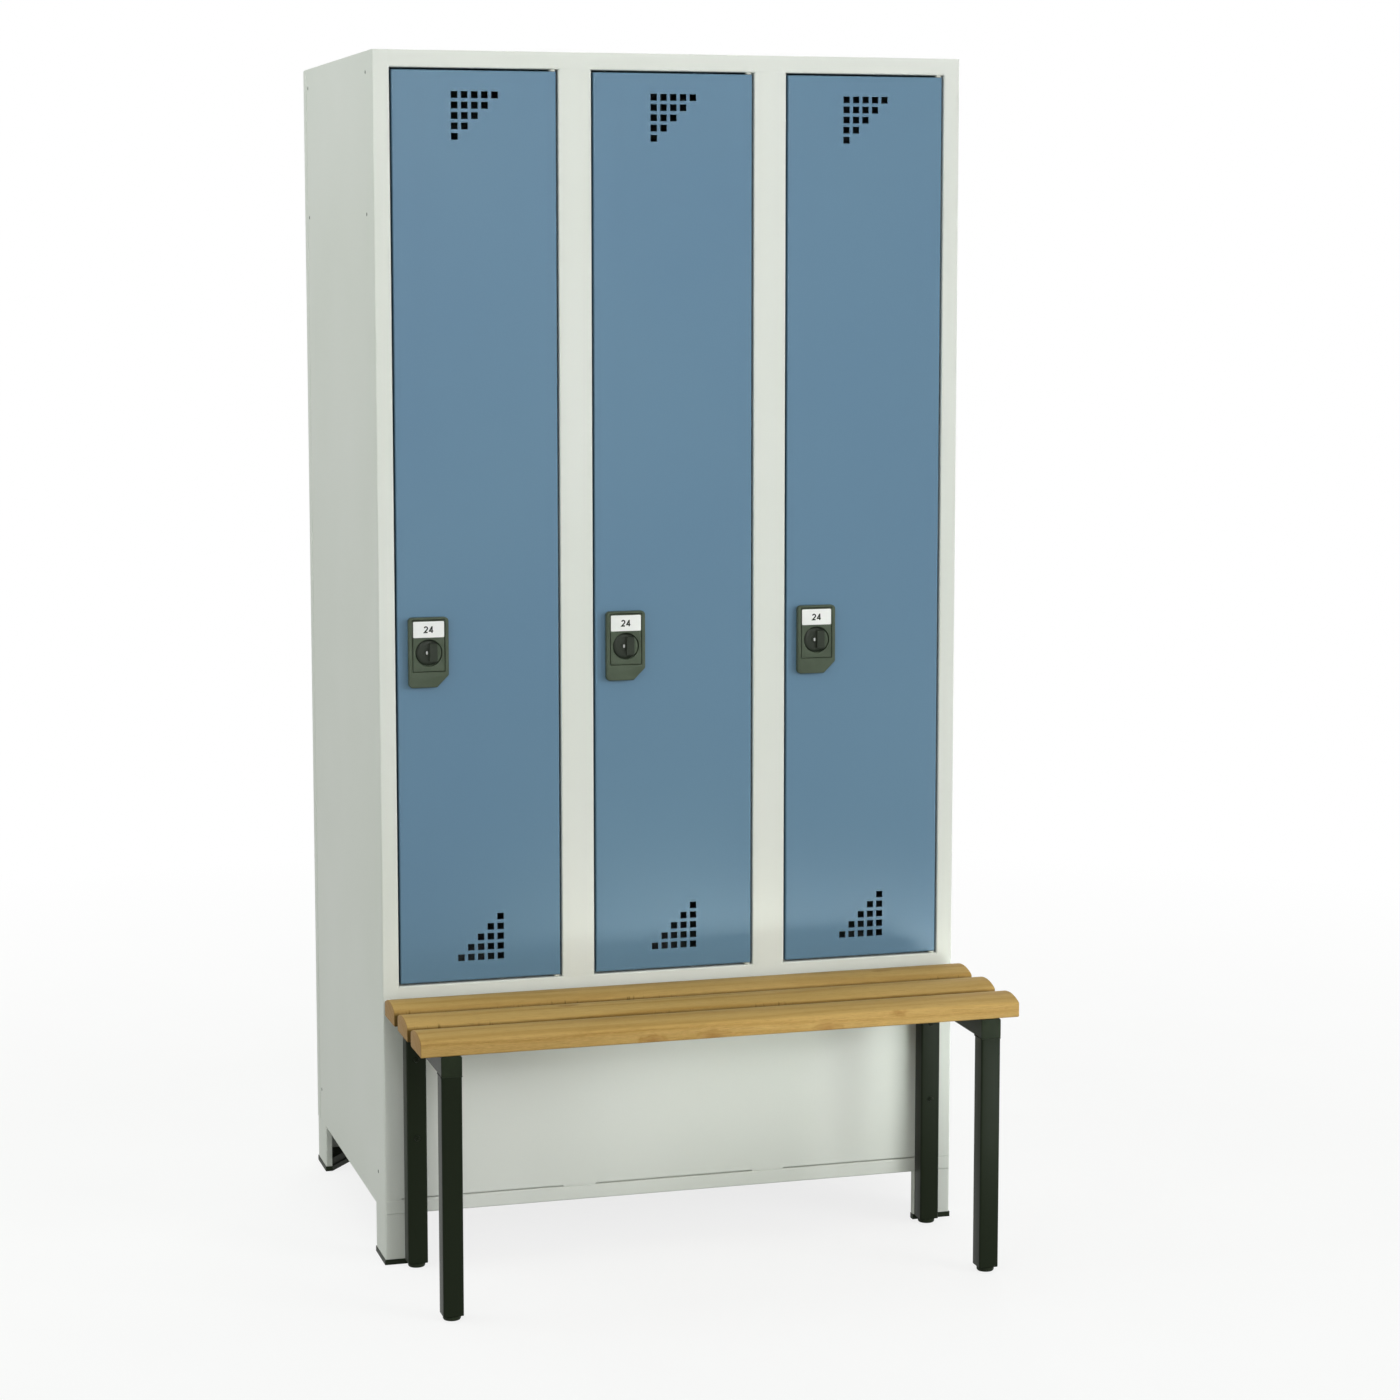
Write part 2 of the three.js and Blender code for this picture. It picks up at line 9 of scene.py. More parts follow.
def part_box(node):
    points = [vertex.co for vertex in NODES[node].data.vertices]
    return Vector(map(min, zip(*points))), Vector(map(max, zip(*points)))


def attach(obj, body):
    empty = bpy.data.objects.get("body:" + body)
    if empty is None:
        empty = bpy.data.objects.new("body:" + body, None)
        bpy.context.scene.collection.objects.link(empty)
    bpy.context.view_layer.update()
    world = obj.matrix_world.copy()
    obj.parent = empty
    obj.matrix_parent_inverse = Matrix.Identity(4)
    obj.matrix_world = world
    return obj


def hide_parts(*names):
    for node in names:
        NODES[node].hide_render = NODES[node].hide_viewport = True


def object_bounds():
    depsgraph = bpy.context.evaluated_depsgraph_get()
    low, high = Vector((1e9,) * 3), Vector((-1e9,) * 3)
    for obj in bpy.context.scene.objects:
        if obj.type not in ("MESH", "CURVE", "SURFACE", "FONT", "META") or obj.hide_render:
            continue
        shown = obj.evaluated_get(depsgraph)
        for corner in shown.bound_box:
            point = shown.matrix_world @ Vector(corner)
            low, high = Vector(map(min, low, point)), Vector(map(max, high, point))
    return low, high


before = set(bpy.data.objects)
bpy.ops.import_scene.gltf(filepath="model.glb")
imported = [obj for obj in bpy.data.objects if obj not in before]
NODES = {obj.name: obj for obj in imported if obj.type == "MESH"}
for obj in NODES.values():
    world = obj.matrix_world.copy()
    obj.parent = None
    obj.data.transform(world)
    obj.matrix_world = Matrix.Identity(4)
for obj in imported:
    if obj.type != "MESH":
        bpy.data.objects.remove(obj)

cad_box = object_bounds()

MM = 0.001
SHADE_ANGLE = math.radians(32)
COMPARTMENTS = 3
Y_AXIS = 1
Z_AXIS = 2


def new_object(name, data):
    made = bpy.data.objects.new(name, data)
    bpy.context.scene.collection.objects.link(made)
    return made


# Camera. Its place and angles were fitted to the corners of the locker in the photograph.
PHOTO_SIDE = 1400
SENSOR = 36.0
FOCAL_PIXELS = 3266.1
CAMERA_AT = Vector((-1.3244, -4.8568, 1.5125))
CAMERA_YAW = 16.2
CAMERA_PITCH = -6.8
PRINCIPAL_ROW = 640


def make_camera():
    data = bpy.data.cameras.new("camera")
    data.sensor_width = SENSOR
    data.lens = SENSOR * FOCAL_PIXELS / PHOTO_SIDE
    data.shift_y = (PRINCIPAL_ROW - PHOTO_SIDE / 2) / PHOTO_SIDE
    camera = new_object("camera", data)
    camera.location = CAMERA_AT
    turn = (math.radians(90 + CAMERA_PITCH), 0, math.radians(-CAMERA_YAW))
    camera.rotation_euler = Euler(turn, "XYZ")
    bpy.context.scene.camera = camera


# Shader nodes
MIX_FACTOR = 0
MIX_FIRST = 6
MIX_SECOND = 7


def feed(tree, inputs, values):
    """Links each value that is a socket to its input, and writes the others into theirs."""
    for key, value in values.items():
        if isinstance(value, bpy.types.NodeSocket):
            tree.links.new(value, inputs[key])
        else:
            inputs[key].default_value = value


def node(tree, kind, inputs=None, **settings):
    made = tree.nodes.new(kind)
    for key, value in settings.items():
        setattr(made, key, value)
    feed(tree, made.inputs, inputs or {})
    return made


def linear(red, green, blue):
    """A colour written as 0 to 255, as the shader wants it."""
    def channel(value):
        share = value / 255
        return share / 12.92 if share <= 0.04045 else ((share + 0.055) / 1.055) ** 2.4
    return (channel(red), channel(green), channel(blue), 1.0)


def ramp(tree, factor, stops):
    """A colour ramp through (place, colour) stops."""
    made = node(tree, "ShaderNodeValToRGB", {"Fac": factor})
    elements = made.color_ramp.elements
    while len(elements) < len(stops):
        elements.new(0.5)
    for element, (place, colour) in zip(elements, stops):
        element.position = place
        element.color = linear(*colour)
    return made.outputs["Color"]


def object_places(tree):
    """Places on the piece in metres."""
    return node(tree, "ShaderNodeTexCoord").outputs["Object"]


def mapped(tree, scale, shift=(0, 0, 0)):
    """Places on the piece, stretched by scale."""
    inputs = {"Vector": object_places(tree), "Scale": scale, "Location": shift}
    return node(tree, "ShaderNodeMapping", inputs).outputs["Vector"]


def noise(tree, scale, detail=3.0, roughness=0.5, vector=None, output="Fac"):
    inputs = {
        "Vector": vector or mapped(tree, (1, 1, 1)),
        "Scale": scale,
        "Detail": detail,
        "Roughness": roughness,
    }
    return node(tree, "ShaderNodeTexNoise", inputs).outputs[output]


def spread(tree, value, low, high, from_low=0.3, from_high=0.7):
    """The value's middle range spread over low to high."""
    ends = {"From Min": from_low, "From Max": from_high, "To Min": low, "To Max": high}
    return node(tree, "ShaderNodeMapRange", {"Value": value, **ends}).outputs["Result"]


def blend_colours(tree, factor, first, second):
    inputs = {MIX_FACTOR: factor, MIX_FIRST: first, MIX_SECOND: second}
    return node(tree, "ShaderNodeMix", inputs, data_type="RGBA").outputs[2]


def arithmetic(tree, operation, first, second=0.0):
    return node(tree, "ShaderNodeMath", {0: first, 1: second}, operation=operation).outputs["Value"]


def product(tree, first, second):
    return arithmetic(tree, "MULTIPLY", first, second)


def vectors(tree, operation, *values):
    """Arithmetic on vectors. The result's length, where that is the operation, is a value."""
    made = node(tree, "ShaderNodeVectorMath", dict(enumerate(values)), operation=operation)
    return made.outputs["Value" if operation == "LENGTH" else "Vector"]


def bump(tree, height, depth, strength=1.0, normal=None):
    inputs = {"Height": height, "Distance": depth, "Strength": strength}
    if normal:
        inputs["Normal"] = normal
    return node(tree, "ShaderNodeBump", inputs).outputs["Normal"]


def new_material(name):
    material = bpy.data.materials.new(name)
    material.use_nodes = True
    tree = material.node_tree
    return material, tree, tree.nodes["Principled BSDF"]


# Paint. Scales are frequencies per metre and depths are in metres.
PAINT_DRIFT_SCALE = 2.2
PAINT_SPECK_SCALE = 420.0
PAINT_SPECK_SHARE = 0.10
PAINT_DULL_SCALE = 9.0
PEEL_SCALE = 330.0
PEEL_DEPTH = 0.00006
FINE_PEEL_SCALE = 1300.0
FINE_PEEL_DEPTH = 0.3 * PEEL_DEPTH
SHEEN_ROUGHNESS = 0.35


def powder_paint(name, colour, shade, roughness=0.42, specular=0.5, sheen=0.0):
    """Stoved powder paint: a fine orange peel, and a slow drift in tone and in gloss."""
    material, tree, shader = new_material(name)
    drift = spread(tree, noise(tree, PAINT_DRIFT_SCALE, 2.0), 0.0, 1.0)
    speck = spread(tree, noise(tree, PAINT_SPECK_SCALE, 2.0), 0.0, PAINT_SPECK_SHARE, 0.45, 0.75)
    tone = blend_colours(tree, drift, linear(*colour), linear(*shade))
    dull = noise(tree, PAINT_DULL_SCALE, 4.0)
    coarse = bump(tree, noise(tree, PEEL_SCALE, 1.0), PEEL_DEPTH)
    feed(tree, shader.inputs, {
        "Base Color": blend_colours(tree, speck, tone, linear(*shade)),
        "Roughness": spread(tree, dull, roughness - 0.015, roughness + 0.025),
        "Normal": bump(tree, noise(tree, FINE_PEEL_SCALE, 1.0), FINE_PEEL_DEPTH, normal=coarse),
        "Specular IOR Level": specular,
        "Sheen Weight": sheen,
        "Sheen Roughness": SHEEN_ROUGHNESS,
    })
    return material


# Plastic and zinc
PLASTIC_DRIFT_SCALE = 38.0
PLASTIC_DULL_SCALE = 160.0
PLASTIC_GRAIN_SCALE = 2600.0
PLASTIC_GRAIN_DEPTH = 0.00003
ZINC_TONES = ((196, 198, 196), (168, 171, 168))
ZINC_CLOUD_SCALE = 60.0
ZINC_DULL_SCALE = 220.0
ZINC_ROUGHNESS = (0.26, 0.4)
ZINC_LINES = (40, 2600, 2600)
ZINC_LINE_DEPTH = 0.00002


def moulded_plastic(name, colour, shade, roughness=0.5, specular=0.3):
    """Injection moulded plastic with a fine spark-eroded grain."""
    material, tree, shader = new_material(name)
    drift = spread(tree, noise(tree, PLASTIC_DRIFT_SCALE), 0.0, 1.0)
    dull = noise(tree, PLASTIC_DULL_SCALE)
    feed(tree, shader.inputs, {
        "Base Color": blend_colours(tree, drift, linear(*colour), linear(*shade)),
        "Roughness": spread(tree, dull, roughness - 0.06, roughness + 0.08),
        "Normal": bump(tree, noise(tree, PLASTIC_GRAIN_SCALE, 2.0), PLASTIC_GRAIN_DEPTH),
        "Specular IOR Level": specular,
    })
    return material


def zinc_plate(name):
    """Bright zinc on turned or pressed steel, with faint drawing lines."""
    material, tree, shader = new_material(name)
    bright, dark = (linear(*tone) for tone in ZINC_TONES)
    cloud = spread(tree, noise(tree, ZINC_CLOUD_SCALE, 4.0), 0.0, 1.0)
    lines = noise(tree, 1.0, 2.0, vector=mapped(tree, ZINC_LINES))
    feed(tree, shader.inputs, {
        "Base Color": blend_colours(tree, cloud, bright, dark),
        "Metallic": 1.0,
        "Roughness": spread(tree, noise(tree, ZINC_DULL_SCALE), *ZINC_ROUGHNESS),
        "Normal": bump(tree, lines, ZINC_LINE_DEPTH),
    })
    return material


# Wood. Places, heights and the radius of each knot are in metres.
KNOTS = (
    ((-0.112, -0.443, 0.389), 0.011),
    ((-0.022, -0.443, 0.389), 0.013),
    ((0.152, -0.443, 0.390), 0.012),
    ((0.262, -0.443, 0.404), 0.007),
    ((-0.205, -0.310, 0.416), 0.009),
    ((0.312, -0.215, 0.416), 0.008),
)
KNOT_RAGGED = (0.016, 0.010, 0.010)
KNOT_RAGGED_SCALE = 90.0
KNOT_SHAPE = (0.45, 1.0, 1.0)
FRONT_FACE = -0.435
# Painted shade low on the sides of the boards that face each other reaches up to these heights.
BOARD_SHADE_LEVELS = (0.4020, 0.4080)
MARK_HEIGHT = 0.0032

# Streaks: frequency per metre along and across the board, detail, and roughness where it isn't usual.
SLOW_STREAKS = (2.2, 9.0, 2.0)
FIBRE_STREAKS = (22.0, 520.0, 4.0, 0.62)
FLECK_STREAKS = (120.0, 900.0, 2.0)
PORE_STREAKS = (60.0, 1500.0, 2.0)
MARK_STREAKS = (230.0, 30.0, 2.0)
PATCH_STREAKS = (9.0, 9.0, 1.0)

# Growth rings, drawn out along the board and pushed out of line.
RING_STRETCH = (1.5, 26.0, 26.0)
RING_WAVER = (0.5, 1.3, 1.3)
RING_SCALE = 0.9
RING_TONES = (
    (0.0, (187, 155, 93)),
    (0.5, (182, 150, 87)),
    (0.85, (175, 141, 78)),
    (1.0, (167, 132, 70)),
)
SLOW_TONE = (194, 160, 98)
FIBRE_TONE = (146, 106, 54)
FLECK_TONE = (205, 162, 104)
PORE_TONE = (112, 78, 40)
KNOT_TONE = (136, 92, 46)
# The colour of the painted shade between the boards, and of the dark marks in the wood.
BOARD_SHADE_TONE = (84, 64, 30)
END_TONE = (132, 92, 44)
WOOD_ROUGHNESS = (0.45, 0.60)
WOOD_SPECULAR = 0.07
FIBRE_DEPTH = 0.00010
PORE_DEPTH = 0.00008


def streaks(tree, along, across, detail=3.0, roughness=0.55, shift=(0, 0, 0)):
    """Noise drawn out along the board."""
    return noise(tree, 1.0, detail, roughness, mapped(tree, (along, across, across), shift))


def knots(tree):
    """1 at the heart of each knot, falling to 0 round it with a ragged edge, longer along the board."""
    where = object_places(tree)
    stir = noise(tree, KNOT_RAGGED_SCALE, vector=where, output="Color")
    ragged = vectors(tree, "MULTIPLY_ADD", stir, KNOT_RAGGED, where)
    found = 0.0
    for place, radius in KNOTS:
        centre = [at + 0.5 * push for at, push in zip(place, KNOT_RAGGED)]
        shape = [share / radius for share in KNOT_SHAPE]
        scaled = vectors(tree, "MULTIPLY", vectors(tree, "SUBTRACT", ragged, centre), shape)
        heart = spread(tree, vectors(tree, "LENGTH", scaled), 1.0, 0.0, 0.15, 1.0)
        found = arithmetic(tree, "MAXIMUM", found, heart)
    return found


def board_shade_and_marks(tree, facing):
    """1 low on the sides that face another board: painted shade where one board shades the next. A few
    dark marks in the wood reach higher.
    """
    where = node(tree, "ShaderNodeSeparateXYZ", {0: object_places(tree)}).outputs
    marks = streaks(tree, *MARK_STREAKS, shift=(0.2, 0.0, 0.0))
    marks = spread(tree, marks, 0.0, MARK_HEIGHT, 0.58, 0.68)
    patches = spread(tree, streaks(tree, *PATCH_STREAKS), 0.0, 1.0, 0.48, 0.62)
    level = arithmetic(tree, "SUBTRACT", where["Z"], product(tree, marks, patches))
    low = spread(tree, level, 0.9, 0.0, *BOARD_SHADE_LEVELS)
    upright = spread(tree, arithmetic(tree, "ABSOLUTE", facing["Y"]), 0.0, 1.0, 0.12, 0.6)
    inner = arithmetic(tree, "GREATER_THAN", where["Y"], FRONT_FACE)
    return product(tree, low, product(tree, upright, inner))


def growth_rings(tree, knot):
    stretched = vectors(tree, "MULTIPLY", object_places(tree), RING_STRETCH)
    stir = noise(tree, RING_SCALE, 2.0, vector=stretched, output="Color")
    pushed = vectors(tree, "MULTIPLY_ADD", stir, RING_WAVER, stretched)
    swirl = node(tree, "ShaderNodeCombineXYZ", {"Y": product(tree, knot, 0.5)}).outputs[0]
    inputs = {
        "Vector": vectors(tree, "ADD", pushed, swirl),
        "Scale": RING_SCALE,
        "Distortion": 1.1,
        "Detail": 2.0,
        "Detail Scale": 1.2,
    }
    shape = {"wave_type": "RINGS", "rings_direction": "X", "wave_profile": "SIN"}
    return node(tree, "ShaderNodeTexWave", inputs, **shape).outputs["Fac"]


def lacquered_wood(name):
    """Light hardwood boards: growth rings, fine pores and a few small knots, under satin lacquer."""
    material, tree, shader = new_material(name)
    knot = knots(tree)
    normal = node(tree, "ShaderNodeNewGeometry").outputs["Normal"]
    facing = node(tree, "ShaderNodeSeparateXYZ", {0: normal}).outputs
    slow = streaks(tree, *SLOW_STREAKS, shift=(3.1, 0.4, 0.0))
    fibres = streaks(tree, *FIBRE_STREAKS)
    flecks = streaks(tree, *FLECK_STREAKS, shift=(0.7, 0.0, 0.0))
    pores = streaks(tree, *PORE_STREAKS)
    fibre_share = spread(tree, facing["Z"], 1.0, 0.55, 0.0, 0.8)
    fleck_share = spread(tree, facing["Z"], 1.0, 0.3, 0.0, 0.8)
    sideways = arithmetic(tree, "ABSOLUTE", facing["X"])
    layers = (
        (spread(tree, slow, 0.0, 0.6), SLOW_TONE),
        (product(tree, spread(tree, fibres, 0.0, 0.32), fibre_share), FIBRE_TONE),
        (product(tree, spread(tree, flecks, 0.0, 0.42, 0.48, 0.68), fleck_share), FLECK_TONE),
        (spread(tree, pores, 0.0, 0.45, 0.56, 0.76), PORE_TONE),
        (product(tree, knot, 0.5), KNOT_TONE),
        # Painted shade low between the boards, with a few dark marks in the wood.
        (board_shade_and_marks(tree, facing), BOARD_SHADE_TONE),
        (spread(tree, sideways, 0.0, 0.5, 0.35, 0.9), END_TONE),
    )
    tone = ramp(tree, growth_rings(tree, knot), RING_TONES)
    for share, colour in layers:
        tone = blend_colours(tree, share, tone, linear(*colour))
    grain = bump(tree, fibres, FIBRE_DEPTH, 0.6)
    feed(tree, shader.inputs, {
        "Base Color": tone,
        "Roughness": spread(tree, fibres, *WOOD_ROUGHNESS),
        "Normal": bump(tree, pores, PORE_DEPTH, 0.5, grain),
        "Specular IOR Level": WOOD_SPECULAR,
    })
    return material


# The materials: a colour and its shade, each written as 0 to 255, and a roughness where it isn't usual.
LOOKS = {
    "body_paint": powder_paint("body_paint", (223, 225, 220), (218, 221, 214), 0.52, specular=0.2),
    "door_paint": powder_paint("door_paint", (94, 128, 152), (90, 124, 150), 0.4),
    "bench_paint": powder_paint("bench_paint", (27, 34, 21), (23, 30, 17), specular=0.09, sheen=0.18),
    "black_plastic": moulded_plastic("black_plastic", (75, 86, 70), (67, 77, 62)),
    "knob_plastic": moulded_plastic("knob_plastic", (40, 47, 37), (34, 41, 31), 0.42),
    "foot_plastic": moulded_plastic("foot_plastic", (36, 44, 29), (29, 36, 23), specular=0.12),
    "pale_nylon": moulded_plastic("pale_nylon", (222, 224, 214), (208, 210, 200)),
    "label_white": moulded_plastic("label_white", (241, 242, 240), (235, 236, 234), 0.45),
    "label_ink": moulded_plastic("label_ink", (32, 38, 30), (26, 31, 25), 0.6),
    "zinc_steel": zinc_plate("zinc_steel"),
    "slat_wood": lacquered_wood("slat_wood"),
}


# Pieces. Shapes are made in millimetres and shrunk to metres when they become a piece.
def node_box(name):
    low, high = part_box(name)
    return low / MM, high / MM


def make_piece(name, mesh, look, body, stands_for=()):
    bmesh.ops.scale(mesh, vec=(MM, MM, MM), verts=mesh.verts)
    bmesh.ops.recalc_face_normals(mesh, faces=mesh.faces)
    data = bpy.data.meshes.new(name)
    mesh.to_mesh(data)
    mesh.free()
    data.materials.append(LOOKS[look])
    piece = new_object(name, data)
    data.shade_smooth()
    data.set_sharp_from_angle(angle=SHADE_ANGLE)
    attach(piece, body)
    if stands_for:
        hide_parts(*stands_for)


def make_turned(name, profile, centre, look, body, axis="Z", steps=32, stands_for=()):
    mesh = bmesh.new()
    add_lathe(mesh, profile, centre, axis, steps)
    make_piece(name, mesh, look, body, stands_for)


def make_plate(name, outlines, back, front, rounding, look, body, stands_for=()):
    mesh = bmesh.new()
    add_plate(mesh, outlines, back, front, rounding)
    make_piece(name, mesh, look, body, stands_for)


# Outlines and solids
def grown(box, margin):
    """A flat box (low u, low v, high u, high v), wider by a margin on each side."""
    low_u, low_v, high_u, high_v = box
    return (low_u - margin, low_v - margin, high_u + margin, high_v + margin)


def arc(centre_u, centre_v, radius, turns):
    return [(centre_u + radius * math.cos(turn), centre_v + radius * math.sin(turn)) for turn in turns]


def rounded_outline(low_u, low_v, high_u, high_v, radius, steps=6):
    """A rectangle's outline with round corners, anticlockwise."""
    corners = (
        (high_u - radius, low_v + radius, -90),
        (high_u - radius, high_v - radius, 0),
        (low_u + radius, high_v - radius, 90),
        (low_u + radius, low_v + radius, 180),
    )
    points = []
    for centre_u, centre_v, start in corners:
        angles = [math.radians(start + 90 * step / steps) for step in range(steps + 1)]
        points += arc(centre_u, centre_v, radius, angles)
    return points


def circle_outline(centre_u, centre_v, radius, steps=48):
    return arc(centre_u, centre_v, radius, [2 * math.pi * step / steps for step in range(steps)])


def add_loft(mesh, rings, closed_ends=True):
    """Skins rings of points, all with as many points, one after another."""
    made = [[mesh.verts.new(point) for point in ring] for ring in rings]
    count = len(made[0])
    for first, second in zip(made, made[1:]):
        for index in range(count):
            after = (index + 1) % count
            mesh.faces.new((first[index], first[after], second[after], second[index]))
    if closed_ends:
        mesh.faces.new(list(reversed(made[0])))
        mesh.faces.new(made[-1])
    return made


def add_tube(mesh, outer_rings, inner_rings):
    """A hollow body between two lofts that share their ends."""
    outer = add_loft(mesh, outer_rings, closed_ends=False)
    inner = add_loft(mesh, inner_rings, closed_ends=False)
    for ring, hole in ((outer[0], inner[0]), (outer[-1], inner[-1])):
        count = len(ring)
        for index in range(count):
            after = (index + 1) % count
            mesh.faces.new((ring[index], ring[after], hole[after], hole[index]))


def add_lathe(mesh, profile, centre, axis, steps):
    """Turns a profile of (radius, height) round an axis through centre."""
    turned = {
        "Z": lambda radius, height, c, s: (radius * c, radius * s, height),
        "Y": lambda radius, height, c, s: (radius * c, height, radius * s),
        "X": lambda radius, height, c, s: (height, radius * c, radius * s),
    }[axis]
    rings = []
    for radius, height in profile:
        if radius == 0:
            rings.append([mesh.verts.new(Vector(turned(0, height, 1, 0)) + centre)])
            continue
        ring = []
        for step in range(steps):
            angle = 2 * math.pi * step / steps
            point = Vector(turned(radius, height, math.cos(angle), math.sin(angle))) + centre
            ring.append(mesh.verts.new(point))
        rings.append(ring)
    for first, second in zip(rings, rings[1:]):
        for step in range(steps):
            after = (step + 1) % steps
            corners = [first[step % len(first)], first[after % len(first)]]
            corners += [second[after % len(second)], second[step % len(second)]]
            mesh.faces.new(list(dict.fromkeys(corners)))


def add_sweep(mesh, path, radius, sides=12):
    """A round rod of one radius along a path of points, closed at both ends."""
    points = [Vector(point) for point in path]
    heading = (points[1] - points[0]).normalized()
    across = heading.orthogonal().normalized()
    rings = []
    for index, point in enumerate(points):
        before = points[max(index - 1, 0)]
        after = points[min(index + 1, len(points) - 1)]
        turned = (after - before).normalized()
        across = (heading.rotation_difference(turned) @ across).normalized()
        heading = turned
        upright = heading.cross(across)
        rings.append([
            point + radius * (math.cos(angle) * across + math.sin(angle) * upright)
            for angle in (2 * math.pi * step / sides for step in range(sides))
        ])
    add_loft(mesh, rings)


WELD_DISTANCE = 0.001


def add_plate(mesh, outlines, back, front, rounding):
    """A plate that faces -Y, from outlines of (x, z): the first is its edge, the others are holes."""
    curve = bpy.data.curves.new("outline", "CURVE")
    curve.dimensions = "2D"
    curve.fill_mode = "BOTH"
    curve.extrude = (back - front) / 2 - rounding
    curve.bevel_depth = rounding
    curve.bevel_resolution = 2
    curve.offset = -rounding
    for outline in outlines:
        spline = curve.splines.new("POLY")
        spline.points.add(len(outline) - 1)
        for point, (across, height) in zip(spline.points, outline):
            point.co = (across, height, 0, 1)
        spline.use_cyclic_u = True
    stand_in = new_object("outline", curve)
    evaluated = stand_in.evaluated_get(bpy.context.evaluated_depsgraph_get())
    plate = bmesh.new()
    plate.from_mesh(evaluated.to_mesh())
    evaluated.to_mesh_clear()
    bpy.data.objects.remove(stand_in)
    bpy.data.curves.remove(curve)
    bmesh.ops.remove_doubles(plate, verts=plate.verts, dist=WELD_DISTANCE)
    facing = Matrix(((1, 0, 0, 0), (0, 0, -1, (back + front) / 2), (0, 1, 0, 0), (0, 0, 0, 1)))
    bmesh.ops.transform(plate, matrix=facing, verts=plate.verts)
    joined = bpy.data.meshes.new("plate")
    plate.to_mesh(joined)
    plate.free()
    mesh.from_mesh(joined)
    bpy.data.meshes.remove(joined)


# Bench slats
SLAT_EDGE_ROUND = 5.0
SLAT_BOTTOM_ROUND = 2.5
SLAT_CROWN = 8.0
SLAT_END_ROUND = 1.4
SLAT_CROWN_STEPS = 18
ROUND_STEPS = 6


def slat_section(half_width, bottom, crest, inset):
    """The slat's outline across its length: flat below, upright sides, a crowned top."""
    half = half_width - inset
    low = bottom + inset
    crown_radius = (half_width ** 2 + SLAT_CROWN ** 2) / (2 * SLAT_CROWN) - inset
    crown_centre = crest - inset - crown_radius
    edge = SLAT_EDGE_ROUND - inset
    base = SLAT_BOTTOM_ROUND - inset
    edge_centre = half - edge
    reach = crown_radius - edge
    edge_height = crown_centre + math.sqrt(reach ** 2 - edge_centre ** 2)
    tangent = math.asin(edge_centre / reach)
    start = math.pi / 2 - tangent
    base_turns = [math.radians(-90 + 90 * step / ROUND_STEPS) for step in range(ROUND_STEPS + 1)]
    edge_turns = [start * step / ROUND_STEPS for step in range(ROUND_STEPS + 1)]
    crown_turns = [start + 2 * tangent * step / SLAT_CROWN_STEPS for step in range(1, SLAT_CROWN_STEPS)]
    right = arc(half - base, low + base, base, base_turns)
    right += arc(edge_centre, edge_height, edge, edge_turns)
    crown = arc(0, crown_centre, crown_radius, crown_turns)
    return right + crown + [(-across, height) for across, height in reversed(right)]


def make_slat(place):
    node_name = f"bench_slat_{place}"
    low, high = node_box(node_name)
    middle = (low.y + high.y) / 2
    half_width = (high.y - low.y) / 2
    turns = [math.radians(90 * step / ROUND_STEPS) for step in range(ROUND_STEPS + 1)]
    rounds = [
        (SLAT_END_ROUND * (1 - math.cos(turn)), SLAT_END_ROUND * (1 - math.sin(turn))) for turn in turns
    ]
    rings = [(low.x + back, inset) for back, inset in rounds]
    rings += [(high.x - back, inset) for back, inset in reversed(rounds)]
    mesh = bmesh.new()
    add_loft(mesh, [
        [(along, middle + u, v) for u, v in slat_section(half_width, low.z, high.z, inset)]
        for along, inset in rings
    ])
    make_piece(f"slat_board_{place}", mesh, "slat_wood", "root", [node_name])


# Bench frame. Profiles are pairs of radius and height, and a glide's radii are counted from its edge.
TUBE_CORNER = 3.0
TUBE_WALL = 2.0
GLIDE_PROFILE = (
    (-3, 0), (-1.2, 0.5), (-0.3, 1.6), (0, 3), (0, 5.6), (-0.5, 6.4), (-1.6, 6.8), (-1.6, 8), (-3, 8),
)
CAP_THICKNESS = 2.4
CAP_ROUND = 0.6
PLUG_INSET = 2.3
PLUG_REACH = 14.0
PLUG_OVERLAP = 0.4
PLUG_CORNER = 1.0
PLUG_ROUND = 0.3
BOLT_LEVELS = (320.0, 200.0)
BOLT_HEAD = (
    (0, 0), (4.2, 0), (4.2, -0.8), (3.8, -1.7), (2.9, -2.2), (2.2, -2.2), (2.1, -0.9), (0, -0.9),
)
SCREW_HEAD = ((0, 0), (4.4, 0), (4.2, -1.2), (3.0, -2.1), (1.5, -2.3), (1.2, -1.1), (0, -1.1))
SCREW_CLEARANCE = 12.0
BEAD_RADIUS = 1.2
BEAD_SIDES = 10
BEAD_STEP = 1.6
BEAD_SWELL = 0.08
BEAD_PACES = (2.1, 0.7)
BEAD_SIDE_GAP = 0.4
BEAD_END_GAP = 2.0


def tube_rings(low, high, axis, inset, ends):
    """Rings of a square tube between low and high, drawn in by inset."""
    u, v = [index for index in range(3) if index != axis]
    box = grown((low[u], low[v], high[u], high[v]), -inset)
    outline = rounded_outline(*box, TUBE_CORNER - inset)
    return [[corner[:axis] + (end,) + corner[axis:] for corner in outline] for end in ends]


def make_square_tube(name, node_name, axis, start=0.0):
    """A square tube in a node's box. It starts a little into the box where a cap needs room."""
    low, high = node_box(node_name)
    ends = (low[axis] + start, high[axis])
    outer, inner = (tube_rings(low, high, axis, inset, ends) for inset in (0.0, TUBE_WALL))
    mesh = bmesh.new()
    add_tube(mesh, outer, inner)
    make_piece(name, mesh, "bench_paint", "root", [node_name])


def make_glide(name, node_name):
    low, high = node_box(node_name)
    centre = Vector(((low.x + high.x) / 2, (low.y + high.y) / 2, low.z))
    radius = (high.x - low.x) / 2
    stem = radius + GLIDE_PROFILE[-1][0]
    top = high.z - low.z
    skirt = [(radius + back, height) for back, height in GLIDE_PROFILE]
    profile = [(0, 0), *skirt, (stem, top), (0, top)]
    make_turned(name, profile, centre, "foot_plastic", "root", steps=40, stands_for=[node_name])


